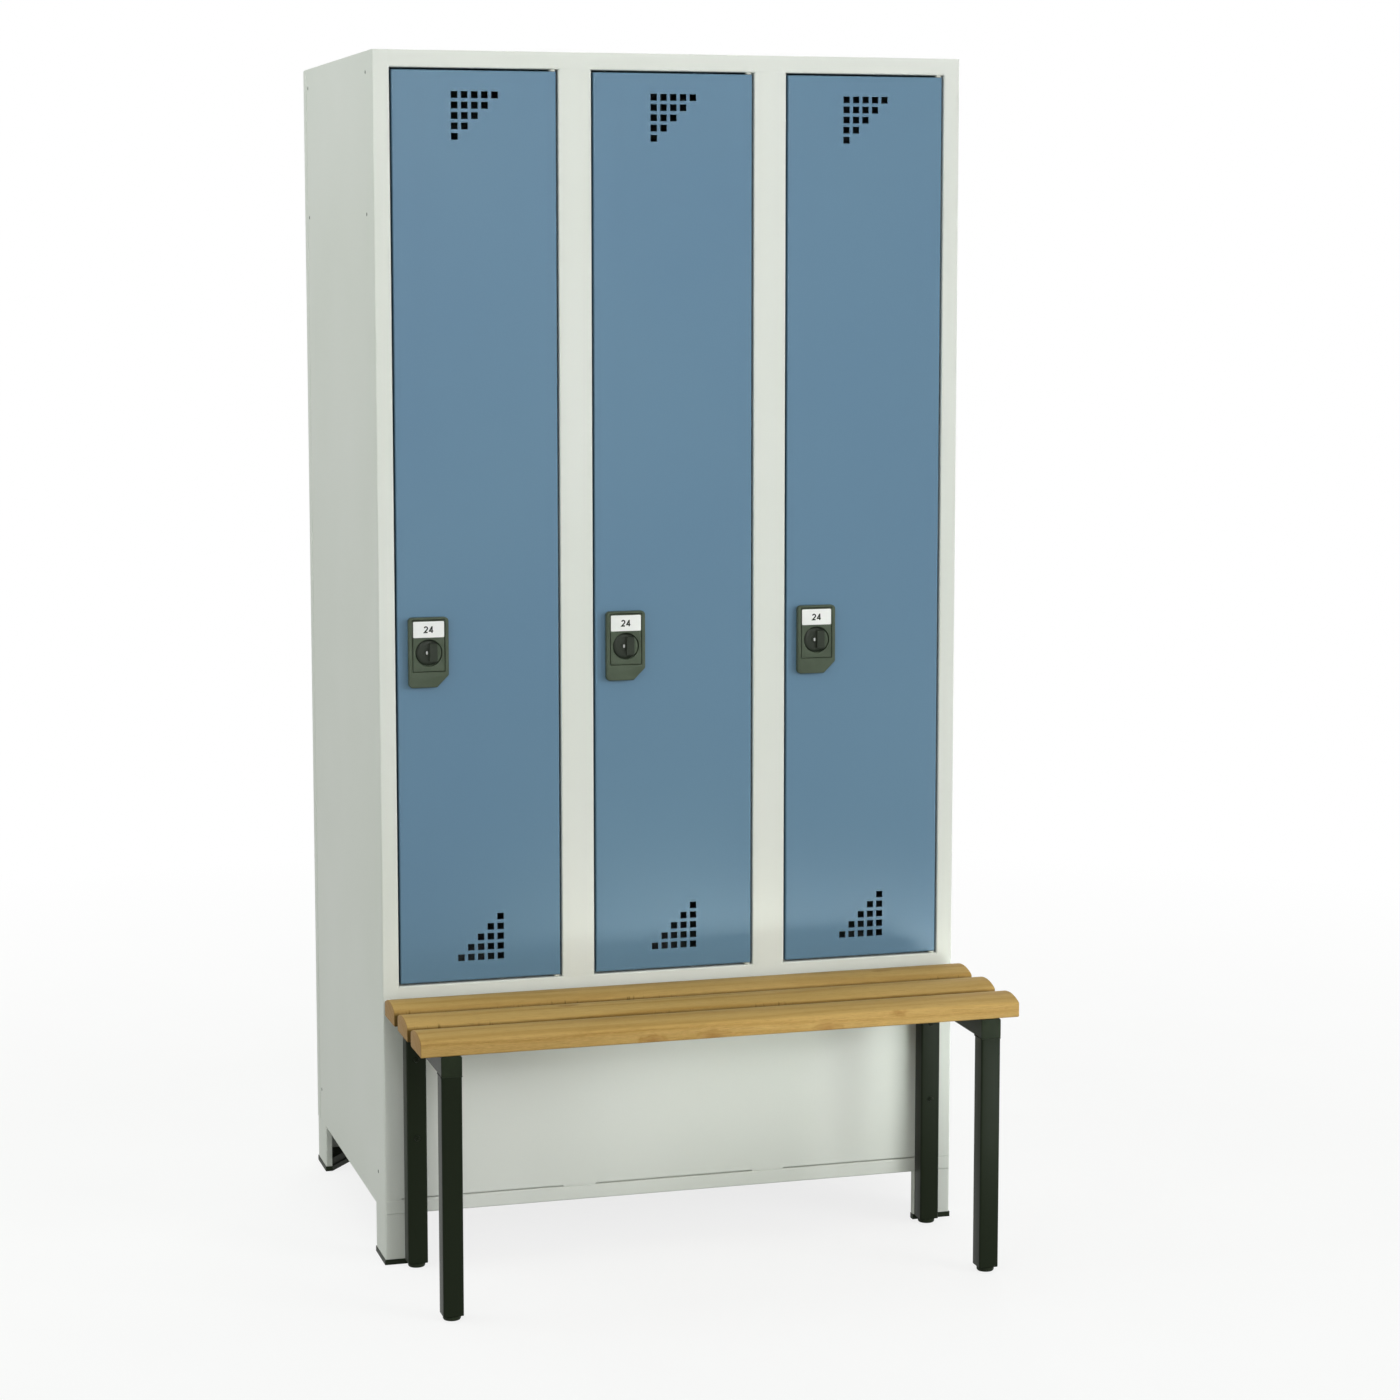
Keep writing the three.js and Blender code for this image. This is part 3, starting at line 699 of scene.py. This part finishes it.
def make_rail_cap(side):
    low, high = node_box(f"bench_rail_{side}")
    box = (low.x, low.z, high.x, high.z)
    cap = rounded_outline(*box, TUBE_CORNER)
    plug = rounded_outline(*grown(box, -PLUG_INSET), PLUG_CORNER)
    mesh = bmesh.new()
    add_plate(mesh, [cap], low.y + CAP_THICKNESS, low.y, CAP_ROUND)
    add_plate(mesh, [plug], low.y + PLUG_REACH, low.y + CAP_THICKNESS - PLUG_OVERLAP, PLUG_ROUND)
    make_piece(f"rail_cap_{side}", mesh, "foot_plastic", "root")


def make_bead(name, corners):
    """A ground weld bead that follows a joint through its corners."""
    points = [Vector(corner) for corner in corners]
    path = []
    for first, second in zip(points, points[1:]):
        steps = max(2, round((second - first).length / BEAD_STEP))
        path += [first.lerp(second, step / steps) for step in range(steps)]
    path.append(points[-1])
    mesh = bmesh.new()
    add_sweep(mesh, path, BEAD_RADIUS, BEAD_SIDES)
    for index, vertex in enumerate(mesh.verts):
        ring = index // BEAD_SIDES
        swell = 1 + BEAD_SWELL * sum(math.sin(ring * pace) for pace in BEAD_PACES)
        vertex.co = path[ring] + (vertex.co - path[ring]) * swell
    make_piece(name, mesh, "bench_paint", "root")


def make_bench_side(side):
    rail_low, rail_high = node_box(f"bench_rail_{side}")
    middle = (rail_low.x + rail_high.x) / 2
    for end in ("front", "rear"):
        leg = f"bench_leg_{end}_{side}"
        make_square_tube(f"leg_tube_{end}_{side}", leg, Z_AXIS)
        make_glide(f"glide_foot_{end}_{side}", f"bench_glide_{end}_{side}")
        low, high = node_box(leg)
        inner = high.y if end == "front" else low.y
        outer = low.y + BEAD_END_GAP if end == "front" else high.y - BEAD_END_GAP
        left, right = low.x + BEAD_SIDE_GAP, high.x - BEAD_SIDE_GAP
        places = ((left, outer), (left, inner), (right, inner), (right, outer))
        make_bead(f"weld_{end}_{side}", [(across, depth, high.z) for across, depth in places])
    make_square_tube(f"rail_tube_{side}", f"bench_rail_{side}", Y_AXIS, CAP_THICKNESS)
    make_rail_cap(side)
    leg_face = node_box(f"bench_leg_rear_{side}")[0].y
    for number, level in enumerate(BOLT_LEVELS, 1):
        centre = Vector((middle, leg_face, level))
        make_turned(f"leg_bolt_{side}_{number}", BOLT_HEAD, centre, "bench_paint", "root", "Y", 24)
    clear_of_leg = rail_low.y + (rail_high.z - rail_low.z) + SCREW_CLEARANCE
    for place in ("rear", "middle", "front"):
        slat_low, slat_high = node_box(f"bench_slat_{place}")
        depth = max((slat_low.y + slat_high.y) / 2, clear_of_leg)
        centre = Vector((middle, depth, rail_low.z))
        make_turned(f"slat_screw_{place}_{side}", SCREW_HEAD, centre, "zinc_steel", "root", steps=24)


def make_bench():
    for place in ("rear", "middle", "front"):
        make_slat(place)
    for side in ("left", "right"):
        make_bench_side(side)


# The lock's housing, an insert in its pocket, and the dish in the insert for the knob
PLATE_CORNER = 6.0
PLATE_CHAMFER = 18.0
PLATE_CHAMFER_ROUND = 4.0
PLATE_ROUND = 1.6
CORNER_MARGIN = 0.1
POCKET_MARGIN = 5.6
POCKET_TOP = 3.6
POCKET_HEIGHT = 77.0
POCKET_CORNER = 2.0
INSERT_GAP = 0.8
INSERT_CORNER = 1.4
INSERT_SUNK = 0.7
INSERT_ROUND = 0.3
INSERT_LEDGE = 0.6
INSERT_FACE_THICKNESS = 0.8
INSERT_BACK_ROUND = 0.2
DISH_RADIUS = 20.2
DISH_THICKNESS = 2.4
PLATE_LAP = 0.2
BACK_GAP = 0.2
BOSS_HALF = 22.0
BOSS_CORNER = 3.0
BOSS_HOLE = 5.0
BOSS_ROUND = 0.8
BOSS_GAP = 0.1

# The label and its digits, whose strokes are drawn in a box 0.58 wide and 1 high
LABEL_WIDTH = 46.4
LABEL_HEIGHT = 23.9
LABEL_DROP = 5.8
LABEL_THICKNESS = 0.7
LABEL_CORNER = 1.6
LABEL_ROUND = 0.15
LABEL_SUNK = 0.05
WINDOW_GAP = 0.3
WINDOW_CORNER = 1.8
LABEL_NUMBER = "24"
DIGIT_HEIGHT = 9.8
DIGIT_STROKE = 1.9
DIGIT_THICKNESS = 0.15
DIGIT_PITCH = 0.78
DIGIT_START = 0.07
STROKE_STEP = 0.02
SHARPEST_MITRE = 0.4


def rounded_corner(corner, before, after, radius, steps=4):
    """Points round a corner where an anticlockwise outline turns between two headings, in degrees."""
    turn = math.radians(after - before)
    back = radius * math.tan(turn / 2)
    start = math.radians(before)
    centre_u = corner[0] - back * math.cos(start) - radius * math.sin(start)
    centre_v = corner[1] - back * math.sin(start) + radius * math.cos(start)
    angles = (start + turn * step / steps for step in range(steps + 1))
    return [
        (centre_u + radius * math.sin(angle), centre_v - radius * math.cos(angle)) for angle in angles
    ]


def plate_outline(low, high):
    """The housing's outline: round corners, and the lower right one cut off."""
    outline = rounded_outline(low.x, low.z, high.x, high.z, PLATE_CORNER)
    cut_x = high.x - PLATE_CORNER - CORNER_MARGIN
    cut_z = low.z + PLATE_CORNER + CORNER_MARGIN
    kept = [(x, z) for x, z in outline if x <= cut_x or z >= cut_z]
    kept += rounded_corner((high.x - PLATE_CHAMFER, low.z), 0, 45, PLATE_CHAMFER_ROUND)
    kept += rounded_corner((high.x, low.z + PLATE_CHAMFER), 45, 90, PLATE_CHAMFER_ROUND)
    return kept


def digit_strokes(digit):
    """Centre lines of a digit: a bowl with a straight foot for 2, and two straight strokes for 4."""
    if digit == "2":
        turns = [math.radians(168 - 198 * step / 12) for step in range(13)]
        bowl = [(0.29 + 0.24 * math.cos(turn), 0.68 + 0.245 * math.sin(turn)) for turn in turns]
        return [bowl + [(0.06, 0.075), (0.55, 0.075)]]
    return [[(0.44, 0.93), (0.06, 0.27), (0.62, 0.27)], [(0.44, 0.0), (0.44, 1.0)]]


def add_ribbon(mesh, points, width, back, front):
    """A flat stroke with square ends along points of (x, z)."""
    rings = []
    for index, point in enumerate(points):
        here = Vector(point)
        before = Vector(points[index - 1]) if index else here
        after = Vector(points[index + 1]) if index + 1 < len(points) else here
        into = (here - before).normalized() if index else (after - here).normalized()
        out = (after - here).normalized() if index + 1 < len(points) else into
        normal = Vector((-into.y - out.y, into.x + out.x)).normalized()
        reach = width / 2 / max(normal.dot(Vector((-into.y, into.x))), SHARPEST_MITRE)
        left = here + normal * reach
        right = here - normal * reach
        corners = ((left, back), (right, back), (right, front), (left, front))
        rings.append([(side.x, depth, side.y) for side, depth in corners])
    add_loft(mesh, rings)


def make_digits(number, body, centre_x, label_top, label_face):
    advance = DIGIT_PITCH * DIGIT_HEIGHT
    start = centre_x - advance + DIGIT_START * DIGIT_HEIGHT
    bottom = label_top - LABEL_HEIGHT / 2 - DIGIT_HEIGHT / 2
    mesh = bmesh.new()
    for place, digit in enumerate(LABEL_NUMBER):
        left = start + place * advance
        for order, stroke in enumerate(digit_strokes(digit)):
            points = [(left + u * DIGIT_HEIGHT, bottom + v * DIGIT_HEIGHT) for u, v in stroke]
            front = label_face - DIGIT_THICKNESS + order * STROKE_STEP
            add_ribbon(mesh, points, DIGIT_STROKE, label_face, front)
    make_piece(f"label_digits_{number}", mesh, "label_ink", body)


def make_lock(number):
    body = f"door_leaf_{number}"
    low, high = node_box(f"lock_housing_{number}")
    knob_low, knob_high = node_box(f"lock_knob_{number}")
    door_face = node_box(f"door_{number}")[0].y
    centre_x = (knob_low.x + knob_high.x) / 2
    centre_z = (knob_low.z + knob_high.z) / 2
    insert_face = low.y + INSERT_SUNK
    label_face = insert_face + LABEL_SUNK
    label_top = high.z - LABEL_DROP
    dish_floor = door_face - DISH_THICKNESS

    pocket_top = high.z - POCKET_TOP
    pocket = (low.x + POCKET_MARGIN, pocket_top - POCKET_HEIGHT, high.x - POCKET_MARGIN, pocket_top)
    label_half = LABEL_WIDTH / 2
    label = (centre_x - label_half, label_top - LABEL_HEIGHT, centre_x + label_half, label_top)
    boss = grown((centre_x, centre_z, centre_x, centre_z), BOSS_HALF)
    plate = [plate_outline(low, high), rounded_outline(*pocket, POCKET_CORNER)]
    name = f"lock_frame_{number}"
    housing = [f"lock_housing_{number}"]
    make_plate(name, plate, door_face, low.y, PLATE_ROUND, "black_plastic", body, housing)

    edge = rounded_outline(*grown(pocket, -INSERT_GAP), INSERT_CORNER)
    window = rounded_outline(*grown(label, WINDOW_GAP), WINDOW_CORNER)
    dish = circle_outline(centre_x, centre_z, DISH_RADIUS)
    mesh = bmesh.new()
    add_plate(mesh, [edge, dish], dish_floor - PLATE_LAP, insert_face + INSERT_LEDGE, INSERT_ROUND)
    face_back = insert_face + INSERT_FACE_THICKNESS
    add_plate(mesh, [edge, window, dish], face_back, insert_face, INSERT_ROUND)
    add_plate(mesh, [edge], door_face - BACK_GAP, dish_floor - PLATE_LAP / 2, INSERT_BACK_ROUND)
    make_piece(f"lock_insert_{number}", mesh, "black_plastic", body)

    card = [rounded_outline(*label, LABEL_CORNER)]
    card_back = label_face + LABEL_THICKNESS
    make_plate(f"number_label_{number}", card, card_back, label_face, LABEL_ROUND, "label_white", body)
    make_digits(number, body, centre_x, label_top, label_face)
    block = [rounded_outline(*boss, BOSS_CORNER), circle_outline(centre_x, centre_z, BOSS_HOLE)]
    block_front = door_face + BOSS_GAP
    make_plate(f"lock_body_{number}", block, high.y, block_front, BOSS_ROUND, "black_plastic", body)
    make_knob(number, centre_x, centre_z, dish_floor)


# The knob: a disc with a grip bar, a spindle behind it, a key barrel with its slot, and a shield
KNOB_RADIUS = 19
KNOB_GAP = 0.6
KNOB_DISC = ((0, 0), (9, 0), (13.5, 0.1), (17.6, 0.9), (18.8, 1.7))
BAR_RISE = 5.0
BAR_SIDES = (0.6, 13.0)
BAR_HALF = 14.0
BAR_CORNER = 2.4
BAR_ROUND = 1.1
BAR_ROOT = 0.5
SPINDLE_RADIUS = 4
SPINDLE_TIP = (0.6, 0.5)
SPINDLE_ROOT = 1
BARREL = ((0, 0.4), (4.6, 0.4), (4.6, -0.6), (4.1, -1.1), (0, -1.1))
BARREL_OFFSET = 2.4
SLOT_HALF = (1.3, 2.6)
SLOT_DEPTHS = (0.9, 1.5)
SLOT_CORNER = 1.2
SLOT_ROUND = 0.25
SHIELD_START = 13.2
SHIELD_RADIUS = 18.7
SHIELD_RISE = 2.6
SHIELD_ROOT = 1.6
SHIELD_ROUND = 0.3
SHIELD_STEPS = 8


def make_knob(number, centre_x, centre_z, dish_floor):
    body = f"latch_{number}"
    low, high = node_box(f"lock_knob_{number}")
    face = low.y + BAR_RISE
    centre = Vector((centre_x, 0, centre_z))
    rim = dish_floor - KNOB_GAP
    disc = [(radius, face + depth) for radius, depth in KNOB_DISC] + [(KNOB_RADIUS, rim), (0, rim)]
    left, right = BAR_SIDES
    bar_box = (centre_x + left, centre_z - BAR_HALF, centre_x + right, centre_z + BAR_HALF)
    bar = rounded_outline(*bar_box, BAR_CORNER)
    root = dish_floor - SPINDLE_ROOT
    tip_radius = SPINDLE_RADIUS - SPINDLE_TIP[0]
    shoulder = high.y - SPINDLE_TIP[1]
    spindle = (
        (0, root), (SPINDLE_RADIUS, root),
        (SPINDLE_RADIUS, shoulder), (tip_radius, high.y), (0, high.y),
    )
    mesh = bmesh.new()
    add_lathe(mesh, disc, centre, "Y", 64)
    add_plate(mesh, [bar], face + BAR_ROOT, low.y, BAR_ROUND)
    add_lathe(mesh, spindle, centre, "Y", 24)
    make_piece(f"turn_knob_{number}", mesh, "knob_plastic", body, [f"lock_knob_{number}"])

    barrel = [(radius, face + depth) for radius, depth in BARREL]
    barrel_at = centre - Vector((BARREL_OFFSET, 0, 0))
    make_turned(f"key_barrel_{number}", barrel, barrel_at, "knob_plastic", body, "Y")

    slot_x = centre_x - BARREL_OFFSET
    half_u, half_v = SLOT_HALF
    slot_box = (slot_x - half_u, centre_z - half_v, slot_x + half_u, centre_z + half_v)
    slot = [rounded_outline(*slot_box, SLOT_CORNER)]
    back, front = (face - depth for depth in SLOT_DEPTHS)
    make_plate(f"key_slot_{number}", slot, back, front, SLOT_ROUND, "zinc_steel", body)

    reach = math.acos(SHIELD_START / SHIELD_RADIUS)
    turns = [reach * (step / SHIELD_STEPS - 1) for step in range(2 * SHIELD_STEPS + 1)]
    shield = arc(centre_x, centre_z, SHIELD_RADIUS, turns)
    back, front = face + SHIELD_ROOT, face - SHIELD_RISE
    make_plate(f"knob_shield_{number}", [shield], back, front, SHIELD_ROUND, "black_plastic", body)


# Hinge pins and their collars, which sit at the door's upper and lower edges
PIN_RADIUS = 3.0
PIN_CHAMFER = (0.6, 0.8)
PIN_CLEARANCE = 0.05
COLLAR_RADIUS = 4.6
COLLAR_REACH = (0.3, 2.7)
COLLAR_EDGE = 0.3
HINGE_STEPS = 28


def make_pins(number):
    body = f"door_leaf_{number}"
    door_low, door_high = node_box(f"door_{number}")
    tip, slope = PIN_RADIUS - PIN_CHAMFER[0], PIN_CHAMFER[1]
    for end, edge, outwards in (("top", door_high.z, 1), ("bottom", door_low.z, -1)):
        node_name = f"hinge_pin_{end}_{number}"
        low, high = node_box(node_name)
        centre = Vector(((low.x + high.x) / 2, (low.y + high.y) / 2, 0))
        rod = (
            (0, low.z), (tip, low.z), (PIN_RADIUS, low.z + slope),
            (PIN_RADIUS, high.z - slope), (tip, high.z), (0, high.z),
        )
        name = f"pivot_pin_{end}_{number}"
        make_turned(name, rod, centre, "zinc_steel", body, steps=HINGE_STEPS, stands_for=[node_name])
        near, far = (edge + outwards * reach for reach in COLLAR_REACH)
        inner = PIN_RADIUS + PIN_CLEARANCE
        rounded = COLLAR_RADIUS - COLLAR_EDGE
        bevel = outwards * COLLAR_EDGE
        collar = (
            (inner, near), (rounded, near), (COLLAR_RADIUS, near + bevel),
            (COLLAR_RADIUS, far - bevel), (rounded, far), (inner, far), (inner, near),
        )
        mesh = bmesh.new()
        add_lathe(mesh, collar, centre, "Z", HINGE_STEPS)
        bmesh.ops.remove_doubles(mesh, verts=mesh.verts, dist=WELD_DISTANCE)
        make_piece(f"pivot_collar_{end}_{number}", mesh, "pale_nylon", body)


# Coat rails, their sockets and the hooks that slide on them
COAT_RAIL_RADIUS = 10
COAT_RAIL_GAP = 1
RAIL_STEPS = 40
SOCKET_CUP = (
    (0, 0), (17, 0), (17, 0.8), (16.2, 1.5), (12.4, 1.7), (11.8, 2.2),
    (11.5, 3.8), (10.2, 4.0), (10.05, 3.6), (10.05, 2), (0, 2),
)
HOOK_PLACES = (-52.0, 46.0)
HOOK_WIRE = 2.2
HOOK_PLAY = 0.4
HOOK_STEM = 14
HOOK_STEM_GAP = 0.2
HOOK_BOW = (11, 15)
HOOK_TIP = (23.5, 8)
HOOK_RING_STEPS = 32
HOOK_BOW_STEPS = 14


def make_coat_rail(number):
    node_name = f"coat_rail_{number}"
    low, high = node_box(node_name)
    centre = Vector((0, (low.y + high.y) / 2, (low.z + high.z) / 2))
    start, end = low.x + COAT_RAIL_GAP, high.x - COAT_RAIL_GAP
    rod = ((0, start), (COAT_RAIL_RADIUS, start), (COAT_RAIL_RADIUS, end), (0, end))
    make_turned(f"coat_tube_{number}", rod, centre, "zinc_steel", "root", "X", RAIL_STEPS, [node_name])
    for side, wall, inwards in (("left", low.x, 1), ("right", high.x, -1)):
        cup = [(radius, wall + inwards * depth) for radius, depth in SOCKET_CUP]
        make_turned(f"rail_socket_{side}_{number}", cup, centre, "zinc_steel", "root", "X", RAIL_STEPS)
    middle = (low.x + high.x) / 2
    for place, shift in zip("ab", HOOK_PLACES):
        make_hook(f"coat_hook_{number}{place}", Vector((middle + shift, centre.y, centre.z)))


def make_hook(name, at):
    """A sliding hook: a ring round the rail, a stem and a double hook below it."""
    ring_radius = COAT_RAIL_RADIUS + HOOK_WIRE + HOOK_PLAY
    turns = [math.radians(-90 + 360 * step / HOOK_RING_STEPS) for step in range(HOOK_RING_STEPS + 1)]
    ring = [at + Vector((0, u, v)) for u, v in arc(0, 0, ring_radius, turns)]
    mesh = bmesh.new()
    add_sweep(mesh, ring, HOOK_WIRE)
    foot = at.z - ring_radius
    bow_width, bow_depth = HOOK_BOW
    tip_reach, tip_drop = HOOK_TIP
    for side in (-1, 1):
        path = [Vector((at.x + side * HOOK_STEM_GAP, at.y, foot))]
        for step in range(HOOK_BOW_STEPS + 1):
            turn = math.pi * step / HOOK_BOW_STEPS
            across = at.x + side * bow_width * (1 - math.cos(turn))
            path.append(Vector((across, at.y, foot - HOOK_STEM - bow_depth * math.sin(turn))))
        path.append(Vector((at.x + side * tip_reach, at.y, foot - tip_drop)))
        add_sweep(mesh, path, HOOK_WIRE)
    make_piece(name, mesh, "black_plastic", "root")


# Rubber buffers on the door's rear flanges, where it closes on the shelf
BUFFER_PAD = ((0, 0), (4.6, 0), (4.6, 1.0), (4.0, 1.7), (0, 1.7))
BUFFER_INSET = 7


def make_buffers(number):
    body = f"door_leaf_{number}"
    door_low, door_high = node_box(f"door_{number}")
    shelf_low, shelf_high = node_box(f"hat_shelf_{number}")
    level = (shelf_low.z + shelf_high.z) / 2
    pad = [(radius, door_high.y + height) for radius, height in BUFFER_PAD]
    for side, across in (("left", door_low.x + BUFFER_INSET), ("right", door_high.x - BUFFER_INSET)):
        centre = Vector((across, 0, level))
        make_turned(f"door_buffer_{side}_{number}", pad, centre, "black_plastic", body, "Y")


# Seams: welds between two folded edges, ground flush with the front
SEAM_DEPTH = 2.4
SEAM_SUNK = 0.04
SEAM_TOP = 0.7
SEAM_LAP = 0.1
SEAM_RAISED = 0.2
SEAM_CORNER = 0.2
SEAM_ROUND = 0.02
BEND = 2.5


def make_seam(name, box, face):
    outline = rounded_outline(*box, SEAM_CORNER, steps=2)
    back, front = face + SEAM_DEPTH, face + SEAM_SUNK
    make_plate(name, [outline], back, front, SEAM_ROUND, "body_paint", "root")


def make_seams():
    rail_low, rail_high = node_box("top_rail")
    face = rail_low.y
    bottom, top = rail_low.z + SEAM_RAISED, rail_high.z - SEAM_TOP
    for side, edge, outwards in (("left", rail_low.x, -1), ("right", rail_high.x, 1)):
        left, right = sorted((edge + outwards * BEND, edge - outwards * SEAM_LAP))
        make_seam(f"rail_seam_{side}", (left, bottom, right, top), face)
    for number in range(1, COMPARTMENTS):
        low, high = node_box(f"mullion_{number}")
        left, right = low.x + BEND, high.x - BEND
        make_seam(f"mullion_top_seam_{number}", (left, high.z - SEAM_LAP, right, high.z + BEND), face)
        make_seam(f"mullion_foot_seam_{number}", (left, low.z - BEND, right, low.z + SEAM_LAP), face)


# Blind plastic inserts in the holes in the sides: pairs of radius and depth from the side's outer face
JOINING_LEVELS = (1770.0, 1565.0, 130.0)
JOINING_DEPTHS = (-103.0, 403.0)
JOINING_INSERT = (
    (0, 4.05), (2.3, 4.05), (2.7, 0.2), (3.1, 0.2), (3.1, 1.05),
    (5.2, 1.05), (5.2, 2.25), (3.8, 2.65), (3.6, 5.65), (0, 5.65),
)


def make_joining_inserts():
    for side, outwards in (("left", -1), ("right", 1)):
        low, high = node_box(f"{side}_side_panel")
        face = low.x if outwards < 0 else high.x
        profile = [(radius, face - outwards * depth) for radius, depth in JOINING_INSERT]
        for row, level in enumerate(JOINING_LEVELS, 1):
            for place, depth in zip(("front", "rear"), JOINING_DEPTHS):
                name = f"joining_insert_{side}_{place}_{row}"
                make_turned(name, profile, Vector((0, depth, level)), "foot_plastic", "root", "X", 28)


# The rear panel's edges, lapped round the sides
STRIP_WIDTH = 26.0
STRIP_REAR_GAP = 2.0
STRIP_THICKNESS = 0.55
STRIP_CORNER = 0.25
STRIP_END_GAP = 0.5


def make_rear_strips():
    low, high = node_box("rear_panel")
    ends = (low.z + STRIP_END_GAP, high.z - STRIP_END_GAP)
    for side, edge, outwards in (("left", low.x, -1), ("right", high.x, 1)):
        left, right = sorted((edge, edge + outwards * STRIP_THICKNESS))
        box = (left, high.y - STRIP_WIDTH, right, high.y - STRIP_REAR_GAP)
        outline = rounded_outline(*box, STRIP_CORNER, steps=3)
        mesh = bmesh.new()
        add_loft(mesh, [[(x, y, level) for x, y in outline] for level in ends])
        make_piece(f"rear_strip_{side}", mesh, "body_paint", "root")


# Materials on the CAD pieces that stay
def finish_cad_nodes():
    for name, item in NODES.items():
        slots = item.material_slots
        if not slots:
            continue
        look = slots[0].material.name.split(".")[0]
        if name.startswith("foot_cap"):
            look = "foot_plastic"
        slots[0].material = LOOKS[look]


# Background and floor. Seen straight, the background is white and the floor nearly so. The light that
# they give the object is set apart from that.
WORLD_LIGHT = 0.61
WORLD_TINT = (0.96, 1.0, 0.945, 1.0)
WHITE = (1, 1, 1, 1)
FLOOR_HALF = 30.0
FLOOR_CELLS = 8
FLOOR_GLOW = 0.8
FLOOR_FADE = (1.2, 3.2)
FLOOR_TONES = ((238, 238, 237), (243, 243, 242))
FLOOR_CLOUD_SCALE = 3.0
FLOOR_BOUNCE = (150, 150, 148)
FLOOR_ROUGHNESS = 0.9
FLOOR_SPECULAR = 0.1


def seen_directly(tree):
    """1 for rays that see the surface straight, in a mirror or through glass."""
    path = node(tree, "ShaderNodeLightPath").outputs
    straight = arithmetic(tree, "MAXIMUM", path["Is Camera Ray"], path["Is Glossy Ray"])
    return arithmetic(tree, "MAXIMUM", straight, path["Is Transmission Ray"])


def blend_shaders(tree, factor, first, second):
    inputs = {0: factor, 1: first.outputs[0], 2: second.outputs[0]}
    return node(tree, "ShaderNodeMixShader", inputs).outputs[0]


def make_world():
    world = bpy.data.worlds.new("world")
    bpy.context.scene.world = world
    world.use_nodes = True
    tree = world.node_tree
    tree.nodes.clear()
    light = node(tree, "ShaderNodeBackground", {"Color": WORLD_TINT, "Strength": WORLD_LIGHT})
    shown = node(tree, "ShaderNodeBackground", {"Color": WHITE, "Strength": 1.0})
    blend = blend_shaders(tree, seen_directly(tree), light, shown)
    node(tree, "ShaderNodeOutputWorld", {"Surface": blend})


def floor_paint():
    material, tree, shader = new_material("floor_paint")
    distance = vectors(tree, "LENGTH", object_places(tree))
    fade = spread(tree, distance, 0.0, 1.0, *FLOOR_FADE)
    cloud = spread(tree, noise(tree, FLOOR_CLOUD_SCALE), 0.0, 1.0)
    pale = blend_colours(tree, cloud, *(linear(*tone) for tone in FLOOR_TONES))
    shown = seen_directly(tree)
    feed(tree, shader.inputs, {
        "Base Color": blend_colours(tree, shown, linear(*FLOOR_BOUNCE), pale),
        "Roughness": FLOOR_ROUGHNESS,
        "Specular IOR Level": FLOOR_SPECULAR,
    })
    glow = node(tree, "ShaderNodeEmission", {"Color": WHITE, "Strength": 1.0})
    lightened = spread(tree, fade, FLOOR_GLOW, 1.0, 0.0, 1.0)
    blend = blend_shaders(tree, product(tree, lightened, shown), shader, glow)
    feed(tree, tree.nodes["Material Output"].inputs, {"Surface": blend})
    return material


def make_floor():
    mesh = bmesh.new()
    bmesh.ops.create_grid(mesh, x_segments=FLOOR_CELLS, y_segments=FLOOR_CELLS, size=FLOOR_HALF)
    data = bpy.data.meshes.new("floor")
    mesh.to_mesh(data)
    mesh.free()
    data.materials.append(floor_paint())
    floor = new_object("floor", data)
    floor.location = (0, 0, cad_box[0].z)


# Lamps
def make_lamp(name, place, target, size, power, tint, beam=180, glare=True):
    """A softbox that shines on a target. The beam is its opening angle in degrees."""
    data = bpy.data.lights.new(name, "AREA")
    data.shape = "RECTANGLE"
    data.size, data.size_y = size
    data.energy = power
    data.color = tint
    data.spread = math.radians(beam)
    lamp = new_object(name, data)
    lamp.location = place
    aim = Vector(target) - Vector(place)
    lamp.rotation_euler = aim.to_track_quat("-Z", "Y").to_euler()
    lamp.visible_camera = False
    lamp.visible_glossy = glare


def make_lights():
    """A far key on the right, its weaker pair on the left and one behind, all aimed at the middle, and
    small lamps where the photograph is lighter: the upper front, the left side and under the bench."""
    middle = (0, 0, 1.0)
    make_lamp("key", (11.0, -10.5, 4.0), middle, (6.0, 4.5), 930, (0.975, 0.98, 1.0), glare=False)
    make_lamp("pair", (-9.0, -9.0, 5.0), middle, (5.0, 4.0), 165, (0.97, 1.0, 0.95))
    make_lamp("upper", (-0.9, -8.8, 3.6), (-0.05, -0.15, 1.85), (1.5, 1.2), 4.4, (1.0, 1.0, 1.0), 26)
    make_lamp("side", (-2.4, 0.25, 3.1), (-0.45, 0.15, 1.3), (1.4, 1.4), 20, (0.92, 1.0, 0.97))
    make_lamp("low", (2.4, -1.8, 0.4), (0.3, -0.16, 0.2), (2.2, 0.6), 1.7, (0.93, 1.0, 0.94), 70)
    make_lamp("under", (1.1, -1.5, 0.06), (0.46, -0.14, 0.29), (1.2, 0.2), 0.56, (0.93, 1.0, 0.95), 20)
    make_lamp("rear", (5.0, 11.0, 4.0), middle, (5.0, 4.0), 260, (1.0, 1.0, 1.0), glare=False)


make_camera()
finish_cad_nodes()
make_bench()
make_seams()
make_joining_inserts()
make_rear_strips()
for compartment in range(1, COMPARTMENTS + 1):
    make_lock(compartment)
    make_pins(compartment)
    make_coat_rail(compartment)
    make_buffers(compartment)
make_world()
make_floor()
make_lights()

bpy.context.scene.view_settings.view_transform = "Standard"
